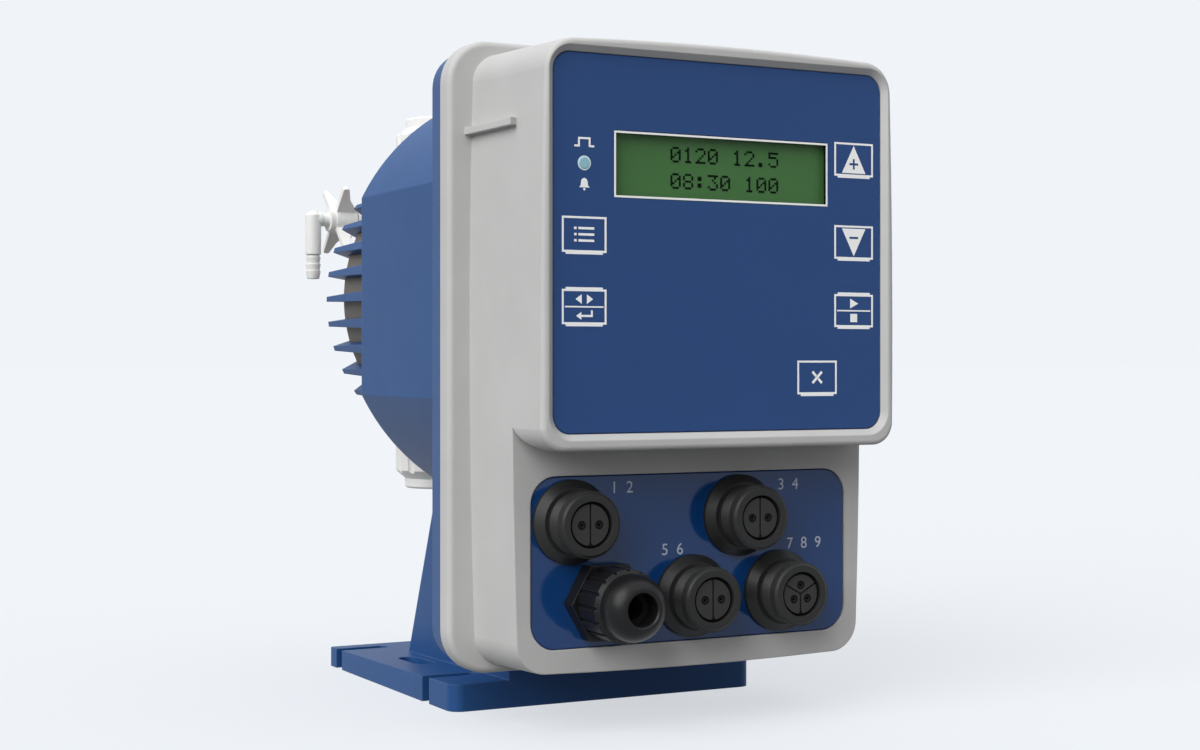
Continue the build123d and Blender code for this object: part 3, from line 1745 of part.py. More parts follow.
# Seal rings under the two cartridges' collars
with BuildPart() as valve_seals:
    for side in (-1, 1):
        seal_middle = drum_axis_z + side * (valve_boss_reach - seal_wire / 2)
        with Locations((0, valve_axis_y, seal_middle)):
            Torus(valve_thread_radius + fit_gap + seal_wire, seal_wire / 2 - face_gap / 2)
save(valve_seals, "valve_seals")


# Bleed valve: screwed body, needle, winged knob and swivelling elbow with a hose barb
with BuildPart() as bleed_body:
    turn_bleed(
        [
            (bleed_thread_start, bleed_stem_radius + run_gap),
            (bleed_thread_start, bleed_thread_radius),
            (bleed_boss_end, bleed_thread_radius),
            (bleed_boss_end, bleed_body_radius),
            (bleed_body_end, bleed_body_radius),
            (bleed_body_end, bleed_stem_radius + run_gap),
        ]
    )
save(bleed_body, "bleed_body")


with BuildPart() as bleed_stem:
    turn_bleed(
        [
            (bleed_thread_start - 1.4, 0),
            (bleed_thread_start - 1.4, bleed_channel_radius - 0.2),
            (bleed_thread_start + face_gap, bleed_channel_radius - 0.1),
            (bleed_thread_start + 1.5, bleed_stem_radius),
            (bleed_stem_end, bleed_stem_radius),
            (bleed_stem_end, 0),
        ]
    )
save(bleed_stem, "bleed_stem")


with BuildPart() as bleed_knob:
    knob_end = knob_start + knob_length
    disc_end = knob_end + knob_disc_length
    neck_end = elbow_reach - elbow_radius - face_gap
    tip_end = neck_end + knob_tip_length
    turn_bleed(
        [
            (knob_start, 0),
            (knob_start, knob_hub_radius),
            (knob_end, knob_hub_radius),
            (knob_end, knob_disc_radius),
            (disc_end, knob_disc_radius),
            (disc_end, knob_neck_radius),
            (neck_end, knob_neck_radius),
            (neck_end, knob_tip_radius),
            (tip_end, knob_tip_radius),
            (tip_end, 0),
        ]
    )
    # four thin wings, widest at the hub and cut back on the head's side
    for wing_angle in (45, 135, 225, 315):
        across_wing = (0, sin(radians(wing_angle)), -cos(radians(wing_angle)))
        wing_plane = Plane(
            origin=(-knob_end, valve_axis_y, bleed_z), x_dir=(1, 0, 0), z_dir=across_wing
        )
        with BuildSketch(wing_plane.offset(-knob_wing_width / 2)) as wing:
            with BuildLine():
                Polyline(
                    (0, 0),
                    (0, knob_wing_radius),
                    (knob_wing_tip, knob_wing_radius),
                    (knob_wing_shoulder_length, knob_wing_shoulder),
                    (knob_length, knob_hub_radius),
                    (knob_length, 0),
                    close=True,
                )
            make_face()
            fillet(wing.vertices().group_by(Axis.X)[0].sort_by(Axis.Y)[-1:], knob_wing_tip / 3)
        extrude(wing.sketch, amount=knob_wing_width)
    turn_bleed(
        [
            (knob_start - 1, 0),
            (knob_start - 1, bleed_stem_radius + run_gap),
            (bleed_stem_end + bleed_stem_lift + loose_gap, bleed_stem_radius + run_gap),
            (bleed_stem_end + bleed_stem_lift + loose_gap, 0),
        ],
        Mode.SUBTRACT,
    )
save(bleed_knob, "bleed_knob")


with BuildPart() as bleed_elbow:
    elbow_plane = Plane(origin=(-elbow_reach, valve_axis_y, bleed_z), x_dir=(1, 0, 0), z_dir=(0, -1, 0))
    elbow_axis = Axis((-elbow_reach, valve_axis_y, 0), (0, 0, 1))
    outline = [
        (0, elbow_high),
        (elbow_radius - elbow_chamfer, elbow_high),
        (elbow_radius, elbow_high - elbow_chamfer),
        (elbow_radius, -elbow_low),
        (barb_radius, -elbow_low),
    ]
    ridge_pitch = (barb_length - 1.4) / barb_ridges
    for k in range(barb_ridges):
        top = -elbow_low - 1.0 - k * ridge_pitch
        outline.append((barb_radius, top))
        outline.append((barb_radius + barb_ridge, top))
        outline.append((barb_radius, top - ridge_pitch * 0.9))
    outline += [
        (barb_radius - 0.2, -elbow_low - barb_length),
        (barb_bore, -elbow_low - barb_length),
        (barb_bore, 0),
        (0, 0),
    ]
    turn(outline, elbow_plane, elbow_axis)
    turn_bleed(
        [
            (neck_end + face_gap, 0),
            (neck_end + face_gap, knob_neck_radius + 0.3),
            (elbow_reach, knob_neck_radius + 0.3),
            (elbow_reach, 0),
        ]
    )
    turn_bleed(
        [
            (neck_end - 1, 0),
            (neck_end - 1, knob_tip_radius + run_gap),
            (tip_end + face_gap, knob_tip_radius + run_gap),
            (tip_end + face_gap, 0),
        ],
        Mode.SUBTRACT,
    )
save(bleed_elbow, "bleed_elbow")
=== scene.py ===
"""Studio picture of a diaphragm metering pump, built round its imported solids.

Every length is in metres, in the pump's own frame: X runs to the right for someone who reads
the control panel, Y runs back towards the pump head, and Z runs up from the foot's underside.
The origin is the middle of that underside.
"""

import logging
import math
from collections.abc import Sequence
from dataclasses import dataclass, field, replace
from enum import Enum
from functools import cache

import bmesh
import bpy
from mathutils import Matrix, Vector


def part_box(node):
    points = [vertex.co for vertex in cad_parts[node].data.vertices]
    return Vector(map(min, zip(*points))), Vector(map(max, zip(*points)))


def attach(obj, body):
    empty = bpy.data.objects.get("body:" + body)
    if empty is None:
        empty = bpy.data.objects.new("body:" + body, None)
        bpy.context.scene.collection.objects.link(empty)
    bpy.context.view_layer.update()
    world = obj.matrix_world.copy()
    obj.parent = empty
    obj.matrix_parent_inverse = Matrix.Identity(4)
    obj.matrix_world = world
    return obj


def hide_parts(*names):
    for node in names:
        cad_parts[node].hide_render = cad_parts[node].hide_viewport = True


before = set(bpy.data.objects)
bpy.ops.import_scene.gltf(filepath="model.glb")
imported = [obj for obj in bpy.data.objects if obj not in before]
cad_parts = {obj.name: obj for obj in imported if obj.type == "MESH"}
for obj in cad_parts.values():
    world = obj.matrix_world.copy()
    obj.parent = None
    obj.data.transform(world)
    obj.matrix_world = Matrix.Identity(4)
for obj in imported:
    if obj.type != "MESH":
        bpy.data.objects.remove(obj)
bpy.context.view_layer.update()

LOG = logging.getLogger("metering_pump")
MM = 0.001
Colour = tuple[float, float, float]
Point = tuple[float, float]
Socket = bpy.types.NodeSocket


def srgb(code: str) -> Colour:
    """Turn a six-digit screen colour into the linear colour of shaders, by the standard curve.

    Args:
        code: Six hexadecimal digits, without a hash.

    Returns:
        Linear red, green and blue.
    """
    steps = [int(code[k : k + 2], 16) / 255 for k in (0, 2, 4)]
    red, green, blue = (s / 12.92 if s <= 0.04045 else ((s + 0.055) / 1.055) ** 2.4 for s in steps)
    return red, green, blue


class Wiring:
    """Adds and links the nodes of one tree."""

    def __init__(self, tree: bpy.types.NodeTree) -> None:
        """Keep the tree that is being wired."""
        self.tree = tree

    def add(self, kind: str, **settings: object) -> bpy.types.Node:
        """Add a node and set its properties and unlinked inputs.

        Args:
            kind: Blender's name of the node type.
            settings: Property names of the node, or input names with underscores for spaces.

        Returns:
            The new node.
        """
        node = self.tree.nodes.new(kind)
        for name, value in settings.items():
            if hasattr(node, name):
                setattr(node, name, value)
            else:
                node.inputs[name.replace("_", " ")].default_value = value
        return node

    def link(self, source: Socket, target: Socket) -> None:
        """Link an output to an input."""
        self.tree.links.new(source, target)

    def sum(self, first: Socket, second: Socket, share: float) -> Socket:
        """Add a share of one value to another.

        Args:
            first: The value that counts in full.
            second: The value of which a share counts.
            share: How much of it counts.

        Returns:
            Their sum.
        """
        both = self.add("ShaderNodeMath", operation="MULTIPLY_ADD")
        both.inputs[1].default_value = share
        self.link(second, both.inputs[0])
        self.link(first, both.inputs[2])
        return both.outputs[0]

    def mix(self, first: Socket, second: Socket, share: Socket) -> Socket:
        """Mix two shaders.

        Args:
            first: What shows where the share is 0.
            second: What shows where the share is 1.
            share: The share.

        Returns:
            The mixed shader.
        """
        mixed = self.add("ShaderNodeMixShader")
        for place, source in enumerate((share, first, second)):
            self.link(source, mixed.inputs[place])
        return mixed.outputs[0]


class Grain(Enum):
    """Kinds of fine surface that the finishes have."""

    SPARKED = "mould with a spark-eroded texture"
    FILM = "fine even film"
    POLISHED = "smooth with a faint waviness"
    TURNED = "turned on the solenoid's axis"
    PAINTED = "sprayed paint"


BEVEL_SAMPLES = 6
LEAST_EDGE = 0.01 * MM
LEAST_ROUGHNESS = 0.02
GLOSS_SPREAD = 0.05  # to each side of a finish's roughness
MILKY_DEPTH = 2 * MM  # how far light spreads inside a finish that lets it in
DRIFT_BAND = (0.3, 0.7)  # the noise between which the colour drifts
WEAR_HIGHLIGHT_BEND = 0.75  # cosine of the bend at which an edge gets its full wear and painted highlight
WEAR_HIGHLIGHT_LIGHTER = 0.6  # how far an edge's wear and painted highlight go towards white
PIT_SCALE, PIT_SHARE = 0.7, 0.6
RING_SCALE, RING_NOISE = 0.05, 0.3
PEEL_SCALE, PEEL_NOISE = 0.35, 0.5
SOLENOID_AXIS = 121.0 * MM  # its height over the foot's underside


@dataclass(frozen=True)
class Finish:
    """A surface finish: one shader with a colour, a gloss and a fine texture of its own.

    The colour drifts slowly by a few percent, is painted a little lighter along edges as wear and
    as a painted highlight, and the roughness follows the grain. Edges look softly rounded.
    """

    name: str
    colour: Colour
    roughness: float = 0.45
    grain: Grain = Grain.SPARKED
    grain_size: float = 0.45 * MM
    grain_depth: float = 0.01 * MM
    metallic: float = 0.0
    specular: float = 0.3
    edge: float = 0.35 * MM
    # share by which edges are painted lighter, as wear and as a painted highlight
    edge_wear_and_highlight: float = 0.08
    mottle: float = 0.04
    mottle_size: float = 22 * MM
    subsurface: float = 0.0
    alpha: float = 1.0

    @cache
    def build(self) -> bpy.types.Material:
        """Make the material, once for each finish.

        Returns:
            The material.
        """
        material = bpy.data.materials.new(self.name)
        material.use_nodes = True
        wiring = Wiring(material.node_tree)
        shader = material.node_tree.nodes["Principled BSDF"]
        for socket, value in (
            ("Metallic", self.metallic),
            ("Specular IOR Level", self.specular),
            ("Subsurface Weight", self.subsurface),
            ("Subsurface Scale", MILKY_DEPTH),
            ("Alpha", self.alpha),
        ):
            shader.inputs[socket].default_value = value
        place = wiring.add("ShaderNodeTexCoord").outputs["Object"]
        edge = max(self.edge, LEAST_EDGE)
        rounded = wiring.add("ShaderNodeBevel", samples=BEVEL_SAMPLES, Radius=edge)
        self.paint(wiring, shader, place, rounded.outputs["Normal"])
        self.roughen(wiring, shader, place, rounded.outputs["Normal"])
        return material

    def paint(
        self,
        wiring: Wiring,
        shader: bpy.types.Node,
        place: Socket,
        rounded: Socket,
    ) -> None:
        """Give the shader a colour that drifts over the surface and is painted lighter along
        edges, as wear and as a painted highlight.

        Args:
            wiring: The material's wiring.
            shader: The surface shader.
            place: Object coordinates.
            rounded: Normal of the softly rounded edges.
        """
        patches = wiring.add("ShaderNodeTexNoise", Scale=1 / self.mottle_size, Detail=3.0)
        wiring.link(place, patches.inputs["Vector"])
        drift = wiring.add("ShaderNodeValToRGB")
        low, high = drift.color_ramp.elements
        low.position, high.position = DRIFT_BAND
        low.color = (*(c * (1 - self.mottle) for c in self.colour), 1)
        high.color = (*(min(1.0, c * (1 + self.mottle)) for c in self.colour), 1)
        wiring.link(patches.outputs["Fac"], drift.inputs["Fac"])
        if self.edge_wear_and_highlight <= 0:
            wiring.link(drift.outputs["Color"], shader.inputs["Base Color"])
            return
        # Edges are painted lighter where the rounded normal turns from the flat one: partly wear,
        # partly a painted highlight.
        flat = wiring.add("ShaderNodeNewGeometry")
        turned = wiring.add("ShaderNodeVectorMath", operation="DOT_PRODUCT")
        wiring.link(flat.outputs["Normal"], turned.inputs[0])
        wiring.link(rounded, turned.inputs[1])
        wear_highlight_share = wiring.add("ShaderNodeMapRange")
        wear_highlight_share.inputs["From Min"].default_value = 1.0
        wear_highlight_share.inputs["From Max"].default_value = WEAR_HIGHLIGHT_BEND
        wear_highlight_share.inputs["To Max"].default_value = self.edge_wear_and_highlight
        wiring.link(turned.outputs["Value"], wear_highlight_share.inputs["Value"])
        blend = wiring.add("ShaderNodeMixRGB")
        wear_highlight_colour = (*(c + (1 - c) * WEAR_HIGHLIGHT_LIGHTER for c in self.colour), 1)
        blend.inputs["Color2"].default_value = wear_highlight_colour
        wiring.link(wear_highlight_share.outputs["Result"], blend.inputs["Fac"])
        wiring.link(drift.outputs["Color"], blend.inputs["Color1"])
        wiring.link(blend.outputs["Color"], shader.inputs["Base Color"])

    def height(self, wiring: Wiring, place: Socket) -> Socket:
        """Make the grain's height.

        Args:
            wiring: The material's wiring.
            place: Object coordinates.

        Returns:
            A height between about 0 and 1.
        """
        noise = wiring.add("ShaderNodeTexNoise", Scale=1 / self.grain_size, Detail=3.0)
        wiring.link(place, noise.inputs["Vector"])
        if self.grain is Grain.SPARKED:
            pits = wiring.add("ShaderNodeTexVoronoi", Scale=PIT_SCALE / self.grain_size)
            wiring.link(place, pits.inputs["Vector"])
            return wiring.sum(noise.outputs["Fac"], pits.outputs["Distance"], PIT_SHARE)
        if self.grain is Grain.TURNED:
            centred = wiring.add("ShaderNodeMapping")
            centred.inputs["Location"].default_value = (0, 0, -SOLENOID_AXIS)
            wiring.link(place, centred.inputs["Vector"])
            rings = wiring.add(
                "ShaderNodeTexWave",
                wave_type="RINGS",
                rings_direction="Y",
                Scale=RING_SCALE / self.grain_size,
            )
            wiring.link(centred.outputs["Vector"], rings.inputs["Vector"])
            return wiring.sum(rings.outputs["Fac"], noise.outputs["Fac"], RING_NOISE)
        if self.grain is Grain.PAINTED:
            peel = wiring.add("ShaderNodeTexNoise", Scale=PEEL_SCALE / self.grain_size, Detail=1.0)
            wiring.link(place, peel.inputs["Vector"])
            return wiring.sum(peel.outputs["Fac"], noise.outputs["Fac"], PEEL_NOISE)
        return noise.outputs["Fac"]

    def roughen(
        self,
        wiring: Wiring,
        shader: bpy.types.Node,
        place: Socket,
        rounded: Socket,
    ) -> None:
        """Give the shader its grain, its uneven gloss and its softly rounded edges.

        Args:
            wiring: The material's wiring.
            shader: The surface shader.
            place: Object coordinates.
            rounded: Normal of the softly rounded edges.
        """
        height = self.height(wiring, place)
        spread = wiring.add("ShaderNodeMapRange")
        smoothest = max(LEAST_ROUGHNESS, self.roughness - GLOSS_SPREAD)
        spread.inputs["To Min"].default_value = smoothest
        spread.inputs["To Max"].default_value = min(1.0, self.roughness + GLOSS_SPREAD)
        wiring.link(height, spread.inputs["Value"])
        wiring.link(spread.outputs["Result"], shader.inputs["Roughness"])
        bump = wiring.add("ShaderNodeBump", Strength=1.0, Distance=self.grain_depth)
        wiring.link(height, bump.inputs["Height"])
        wiring.link(rounded, bump.inputs["Normal"])
        wiring.link(bump.outputs["Normal"], shader.inputs["Normal"])


GREY_SHELL = Finish(
    "grey_shell_plastic", srgb("B9B9B8"), 0.48, grain_depth=0.012 * MM, edge=0.5 * MM
)
BLUE_BODY = Finish(
    "blue_body_plastic", srgb("1E487C"), 0.45, grain_depth=0.014 * MM,
    specular=0.22, edge=0.5 * MM, edge_wear_and_highlight=0.06,
)
PANEL_FILM = Finish(
    "panel_film", srgb("28487C"), 0.42, Grain.FILM, 0.18 * MM, 0.003 * MM,
    specular=0.22, edge=0.12 * MM, edge_wear_and_highlight=0.03, mottle=0.015,
)
# Colour darkened to stand in for the hood's shade that falls on the plate: painted shade.
PLATE_GLOSS = Finish(
    "glossy_blue_plate", srgb("0E3C75"), 0.09, Grain.POLISHED, 3 * MM, 0.002 * MM,
    specular=0.34, edge=0.12 * MM, edge_wear_and_highlight=0.03, mottle=0.02,
)
BLACK_PLASTIC = Finish(
    "black_socket_nylon", srgb("242424"), 0.42, grain_depth=0.006 * MM,
    specular=0.22, edge=0.2 * MM, edge_wear_and_highlight=0.05,
)
INSERT_PLASTIC = Finish(
    "black_insert_plastic", srgb("303030"), 0.5, grain_depth=0.004 * MM,
    specular=0.2, edge=0.08 * MM, edge_wear_and_highlight=0.04,
)
BLACK_GLAND = Finish(
    "black_gland_nylon", srgb("141415"), 0.32, grain_depth=0.006 * MM,
    specular=0.2, edge=0.25 * MM, edge_wear_and_highlight=0.05,
)
RUBBER = Finish("black_rubber", srgb("1A1A1A"), 0.75, specular=0.2, edge=0.2 * MM, edge_wear_and_highlight=0.03)
WHITE_PLASTIC = Finish(
    "white_valve_plastic", srgb("E4E4E1"), 0.38, Grain.FILM,
    edge=0.3 * MM, edge_wear_and_highlight=0.05, subsurface=0.12,
)
CAN_PAINT = Finish(
    "can_paint", srgb("5C564F"), 0.5, Grain.PAINTED, 0.5 * MM, 0.02 * MM, edge=0.4 * MM
)
STEEL = Finish(
    "zinc_steel", srgb("B2B5B8"), 0.32, Grain.FILM, 0.3 * MM, metallic=1.0, edge=0.2 * MM, edge_wear_and_highlight=0.1
)
SPRING_STEEL = Finish(
    "spring_steel", srgb("A6A8AA"), 0.25, Grain.FILM, metallic=1.0, edge=0.05 * MM, edge_wear_and_highlight=0.0
)
TURNED_IRON = Finish(
    "turned_iron", srgb("8F9194"), 0.34, Grain.TURNED, 0.2 * MM, metallic=1.0, edge=0.3 * MM
)
BRONZE = Finish(
    "bearing_bronze", srgb("A8834B"), 0.35, Grain.TURNED, 0.2 * MM, metallic=1.0, edge=0.2 * MM
)
CONTACT = Finish(
    "contact_sleeves", srgb("1A1712"), 0.5, Grain.FILM, 0.2 * MM, 0.003 * MM,
    metallic=0.6, edge=0.05 * MM, edge_wear_and_highlight=0.1,
)
COPPER = Finish(
    "enamelled_copper", srgb("8C4A2A"), 0.3, Grain.TURNED, 0.4 * MM, metallic=1.0, edge=0.05 * MM
)
BOARD = Finish(
    "board_green", srgb("1F5A38"), 0.4, Grain.FILM, 1.2 * MM, edge=0.1 * MM, mottle=0.15
)
COMPONENT = Finish("component_black", srgb("202020"), 0.45, specular=0.25)
DIAPHRAGM = Finish(
    "diaphragm_white", srgb("E4E4E0"), 0.3, Grain.POLISHED, edge=0.2 * MM, edge_wear_and_highlight=0.0
)
CERAMIC = Finish(
    "ball_ceramic", srgb("E6E6E0"), 0.1, Grain.POLISHED, 2 * MM, 0.001 * MM,
    edge=0.02 * MM, edge_wear_and_highlight=0.0,
)
DISPLAY_GREEN = Finish(
    "display_green", srgb("467840"), 0.3, Grain.POLISHED, 2 * MM, 0.001 * MM,
    specular=0.25, edge=0.05 * MM, edge_wear_and_highlight=0.0,
)
DISPLAY_INK = Finish(
    "display_segments", srgb("050A06"), 0.6, Grain.FILM, 0.1 * MM, 0.0005 * MM,
    specular=0.03, edge=0.02 * MM, edge_wear_and_highlight=0.0,
)
DISPLAY_FRAME = Finish(
    "display_frame_black", srgb("070707"), 0.6, specular=0.06, edge=0.1 * MM, edge_wear_and_highlight=0.03
)
WINDOW = Finish(
    "clear_window", (0.02, 0.03, 0.02), 0.06, Grain.POLISHED, 4 * MM, 0.001 * MM,
    edge=0.05 * MM, edge_wear_and_highlight=0.0, alpha=0.05,
)
WHITE_INK = Finish(
    "white_ink", srgb("FAFBFC"), 0.5, Grain.FILM, 0.2 * MM, 0.001 * MM,
    specular=0.2, edge=0.02 * MM, edge_wear_and_highlight=0.0, mottle=0.01,
)
PALE_INK = replace(WHITE_INK, name="pale_ink", colour=srgb("BAC3D2"))
LENS_RING = Finish(
    "lens_ring_ink", srgb("DDF0F4"), 0.4, Grain.FILM, 0.2 * MM, 0.001 * MM,
    edge=0.02 * MM, edge_wear_and_highlight=0.0,
)
# The lens's rim is painted far lighter: a painted highlight round its edge.
LENS = Finish(
    "status_lens", srgb("93C3D2"), 0.2, Grain.POLISHED, 1 * MM, 0.001 * MM,
    edge=0.15 * MM, edge_wear_and_highlight=0.5,
)


def dress(finish: Finish, *nodes: str) -> None:
    """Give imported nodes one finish.

    Args:
        finish: What covers them.
        nodes: Names of the nodes.
    """
    for node in nodes:
        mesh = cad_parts[node].data
        mesh.materials.clear()
        mesh.materials.append(finish.build())


def add_piece(name: str, mesh: bpy.types.Mesh, finish: Finish, body: str) -> bpy.types.Object:
    """Turn a finished mesh into a piece that rides on a body.

    Args:
        name: Name of the piece.
        mesh: The mesh, placed in the pump's frame.
        finish: What covers it.
        body: The body that carries it.

    Returns:
        The piece.
    """
    mesh.materials.clear()
    mesh.materials.append(finish.build())
    piece = bpy.data.objects.new(name, mesh)
    bpy.context.scene.collection.objects.link(piece)
    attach(piece, body)
    LOG.info("%s: %d faces on %s", name, len(mesh.polygons), body)
    return piece

def take_mesh(carrier: bpy.types.Object) -> bpy.types.Mesh:
    """Take the plain mesh that an object comes out as, and remove the object.

    Args:
        carrier: The object, with its modifiers or its text.

    Returns:
        The mesh.
    """
    bpy.context.view_layer.update()
    result = carrier.evaluated_get(bpy.context.evaluated_depsgraph_get())
    mesh = bpy.data.meshes.new_from_object(result)
    carrier.modifiers.clear()
    bpy.data.objects.remove(carrier)
    return mesh


def face_middle(node: str) -> Point:
    """Middle (x, z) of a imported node, as someone who faces the panel sees it."""
    low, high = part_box(node)
    return (low.x + high.x) / 2, (low.z + high.z) / 2


def place_outline(points: Sequence[Point], middle: Point, unit: float) -> list[Point]:
    """Scale an outline that is drawn round its own middle, and move it to its place."""
    x, z = middle
    return [(x + across * unit, z + up * unit) for across, up in points]


def rounded_outline(
    middle: Point, width: float, height: float, corner: float, steps: int = 6
) -> list[Point]:
    """Outline of a rounded rectangle, anticlockwise for someone who faces the panel.

    Args:
        middle: Its middle (x, z).
        width: Its width.
        height: Its height.
        corner: Radius of its corners.
        steps: Straight runs round each corner.

    Returns:
        The outline's points (x, z).
    """
    points = []
    for turn, (side, rise) in enumerate(((1, 1), (-1, 1), (-1, -1), (1, -1))):
        corner_x = middle[0] + side * (width / 2 - corner)
        corner_z = middle[1] + rise * (height / 2 - corner)
        for step in range(steps + 1):
            angle = math.pi / 2 * (turn + step / steps)
            across, up = corner * math.cos(angle), corner * math.sin(angle)
            points.append((corner_x + across, corner_z + up))
    return points


def round_outline(middle: Point, radius: float, steps: int = 32) -> list[Point]:
    """Outline of a circle, anticlockwise for someone who faces the panel."""
    turns = [2 * math.pi * step / steps for step in range(steps)]
    return [(middle[0] + radius * math.cos(a), middle[1] + radius * math.sin(a)) for a in turns]


def line_outline(points: Sequence[Point], width: float) -> list[Point]:
    """Outline of an even line with mitred corners.

    Args:
        points: The line's own points (x, z).
        width: How wide it is.

    Returns:
        The outline's points.
    """
    spots = [Vector(point) for point in points]
    near_side, far_side = [], []
    for k, spot in enumerate(spots):
        ways = []
        if k > 0:
            ways.append((spot - spots[k - 1]).normalized())
        if k < len(spots) - 1:
            ways.append((spots[k + 1] - spot).normalized())
        across = [Vector((-way.y, way.x)) for way in ways]
        mitre = sum(across, Vector((0, 0))).normalized()
        mitre *= width / 2 / mitre.dot(across[0])
        near_side.append(tuple(spot + mitre))
        far_side.append(tuple(spot - mitre))
    return far_side + near_side[::-1]


def add_prism(
    shape: bmesh.types.BMesh, outline: Sequence[Point], front: float, rear: float
) -> None:
    """Add a closed prism between two depths.

    Args:
        shape: The mesh that it is added to.
        outline: Its outline (x, z).
        front: Depth of its front.
        rear: Depth of its rear.
    """
    near = [shape.verts.new((x, front, z)) for x, z in outline]
    far = [shape.verts.new((x, rear, z)) for x, z in outline]
    shape.faces.new(near)
    shape.faces.new(far[::-1])
    for k in range(len(outline)):
        after = (k + 1) % len(outline)
        shape.faces.new((near[k], far[k], far[after], near[after]))


def add_band(
    shape: bmesh.types.BMesh,
    outer: Sequence[Point],
    inner: Sequence[Point],
    front: float,
    rear: float,
) -> None:
    """Add a closed band between two outlines with as many points each.

    Args:
        shape: The mesh that it is added to.
        outer: Its outer outline (x, z).
        inner: Its inner outline (x, z).
        front: Depth of its front.
        rear: Depth of its rear.
    """
    loops = [
        [shape.verts.new((x, y, z)) for x, z in outline]
        for outline, y in ((outer, front), (inner, front), (inner, rear), (outer, rear))
    ]
    for k in range(len(outer)):
        after = (k + 1) % len(outer)
        for here, beside in zip(loops, loops[1:] + loops[:1]):
            shape.faces.new((here[k], here[after], beside[after], beside[k]))


def close_mesh(shape: bmesh.types.BMesh, name: str) -> bpy.types.Mesh:
    """Turn a shape into a named mesh with its faces outwards.

    Args:
        shape: The shape, which is used up.
        name: Name of the mesh.

    Returns:
        The mesh.
    """
    bmesh.ops.recalc_face_normals(shape, faces=shape.faces[:])
    mesh = bpy.data.meshes.new(name)
    shape.to_mesh(mesh)
    shape.free()
    return mesh


class Ink:
    """Thin flat shapes printed on one upright surface."""

    def __init__(self, surface: float, thickness: float = 0.03 * MM) -> None:
        """Start a print.

        Args:
            surface: Depth of the surface that it is printed on.
            thickness: How far it stands out.
        """
        self.shape = bmesh.new()
        self.front = surface - thickness
        self.rear = surface

    def fill(self, outline: Sequence[Point]) -> None:
        """Print a filled outline."""
        add_prism(self.shape, outline, self.front, self.rear)

    def band(self, outer: Sequence[Point], inner: Sequence[Point]) -> None:
        """Print a band between two outlines."""
        add_band(self.shape, outer, inner, self.front, self.rear)

    def frame(self, low: Point, high: Point, line: float) -> None:
        """Print a square-cornered frame.

        Args:
            low: Its lower left corner, outside.
            high: Its upper right corner, outside.
            line: Width of its line.
        """
        outer = [low, (high[0], low[1]), high, (low[0], high[1])]
        inner = [
            (low[0] + line, low[1] + line),
            (high[0] - line, low[1] + line),
            (high[0] - line, high[1] - line),
            (low[0] + line, high[1] - line),
        ]
        self.band(outer, inner)

    def bar(self, middle: Point, width: float, height: float) -> None:
        """Print an upright rectangle.

        Args:
            middle: Its middle (x, z).
            width: Its width.
            height: Its height.
        """
        across, up = width / 2, height / 2
        corners = ((-across, -up), (across, -up), (across, up), (-across, up))
        self.fill(place_outline(corners, middle, 1.0))

    def finish(self, name: str, finish: Finish, body: str) -> bpy.types.Object:
        """Close the print as a piece on a body."""
        return add_piece(name, close_mesh(self.shape, name), finish, body)


@dataclass
class FrontHousing:
    """Grey front housing with its flange, hood and connector box."""

    def build(self) -> None:
        """Dress the moulding and the seal behind it."""
        dress(GREY_SHELL, "front_housing")
        dress(RUBBER, "housing_gasket")


@dataclass
class RearHousing:
    """Blue rear moulding: joint plate, drum, fin cage, pedestal and foot."""

    def build(self) -> None:
        """Dress the moulding and its screws."""
        dress(BLUE_BODY, "rear_housing")
        dress(STEEL, "housing_screws")


class Sign(Enum):
    """Signs that are printed on the keys."""

    UP = "filled triangle that points up, with a plus"
    DOWN = "filled triangle that points down, with a minus"
    LIST = "three lines with a dot before each"
    CHOOSE_ENTER = "two arrowheads over a return arrow"
    RUN_HALT = "run arrowhead over a halt square"
    CROSS = "cross"


@dataclass(frozen=True)
class SignSizes:
    """Sizes of the signs. The two outlines are in millimetres round the sign's middle."""

    triangle_base: float = 7.9 * MM
    triangle_rise: float = 7.6 * MM
    mark_line: float = 0.6 * MM
    mark_reach: float = 1.45 * MM
    mark_thickness: float = 0.012 * MM
    list_pitch: float = 1.6 * MM
    list_line: float = 0.62 * MM
    list_bar: float = 4.6 * MM
    list_bar_shift: float = 0.6 * MM
    list_dot: float = 0.75 * MM
    list_dot_shift: float = -2.6 * MM
    cross_arm: float = 1.55 * MM
    cross_line: float = 0.72 * MM
    divider_width: float = 11.2 * MM
    divider_line: float = 0.38 * MM
    run_back: float = -1.2 * MM
    run_tip: float = 1.5 * MM
    run_half: float = 1.35 * MM
    halt_side: float = 2.3 * MM
    choose_back: float = 0.75 * MM
    choose_tip: float = 2.55 * MM
    choose_half: float = 1.25 * MM
    hook: tuple[Point, ...] = ((2.2, 1.1), (2.2, -0.35), (-0.9, -0.35))
    hook_head: tuple[Point, ...] = ((-2.4, -0.35), (-0.85, -1.35), (-0.85, 0.65))
    hook_line: float = 0.55 * MM


@dataclass(frozen=True)
class KeyPrint:
    """What is printed on one key."""

    node: str
    body: str
    sign: Sign
    low: float
    high: float
    bar_above: bool = False


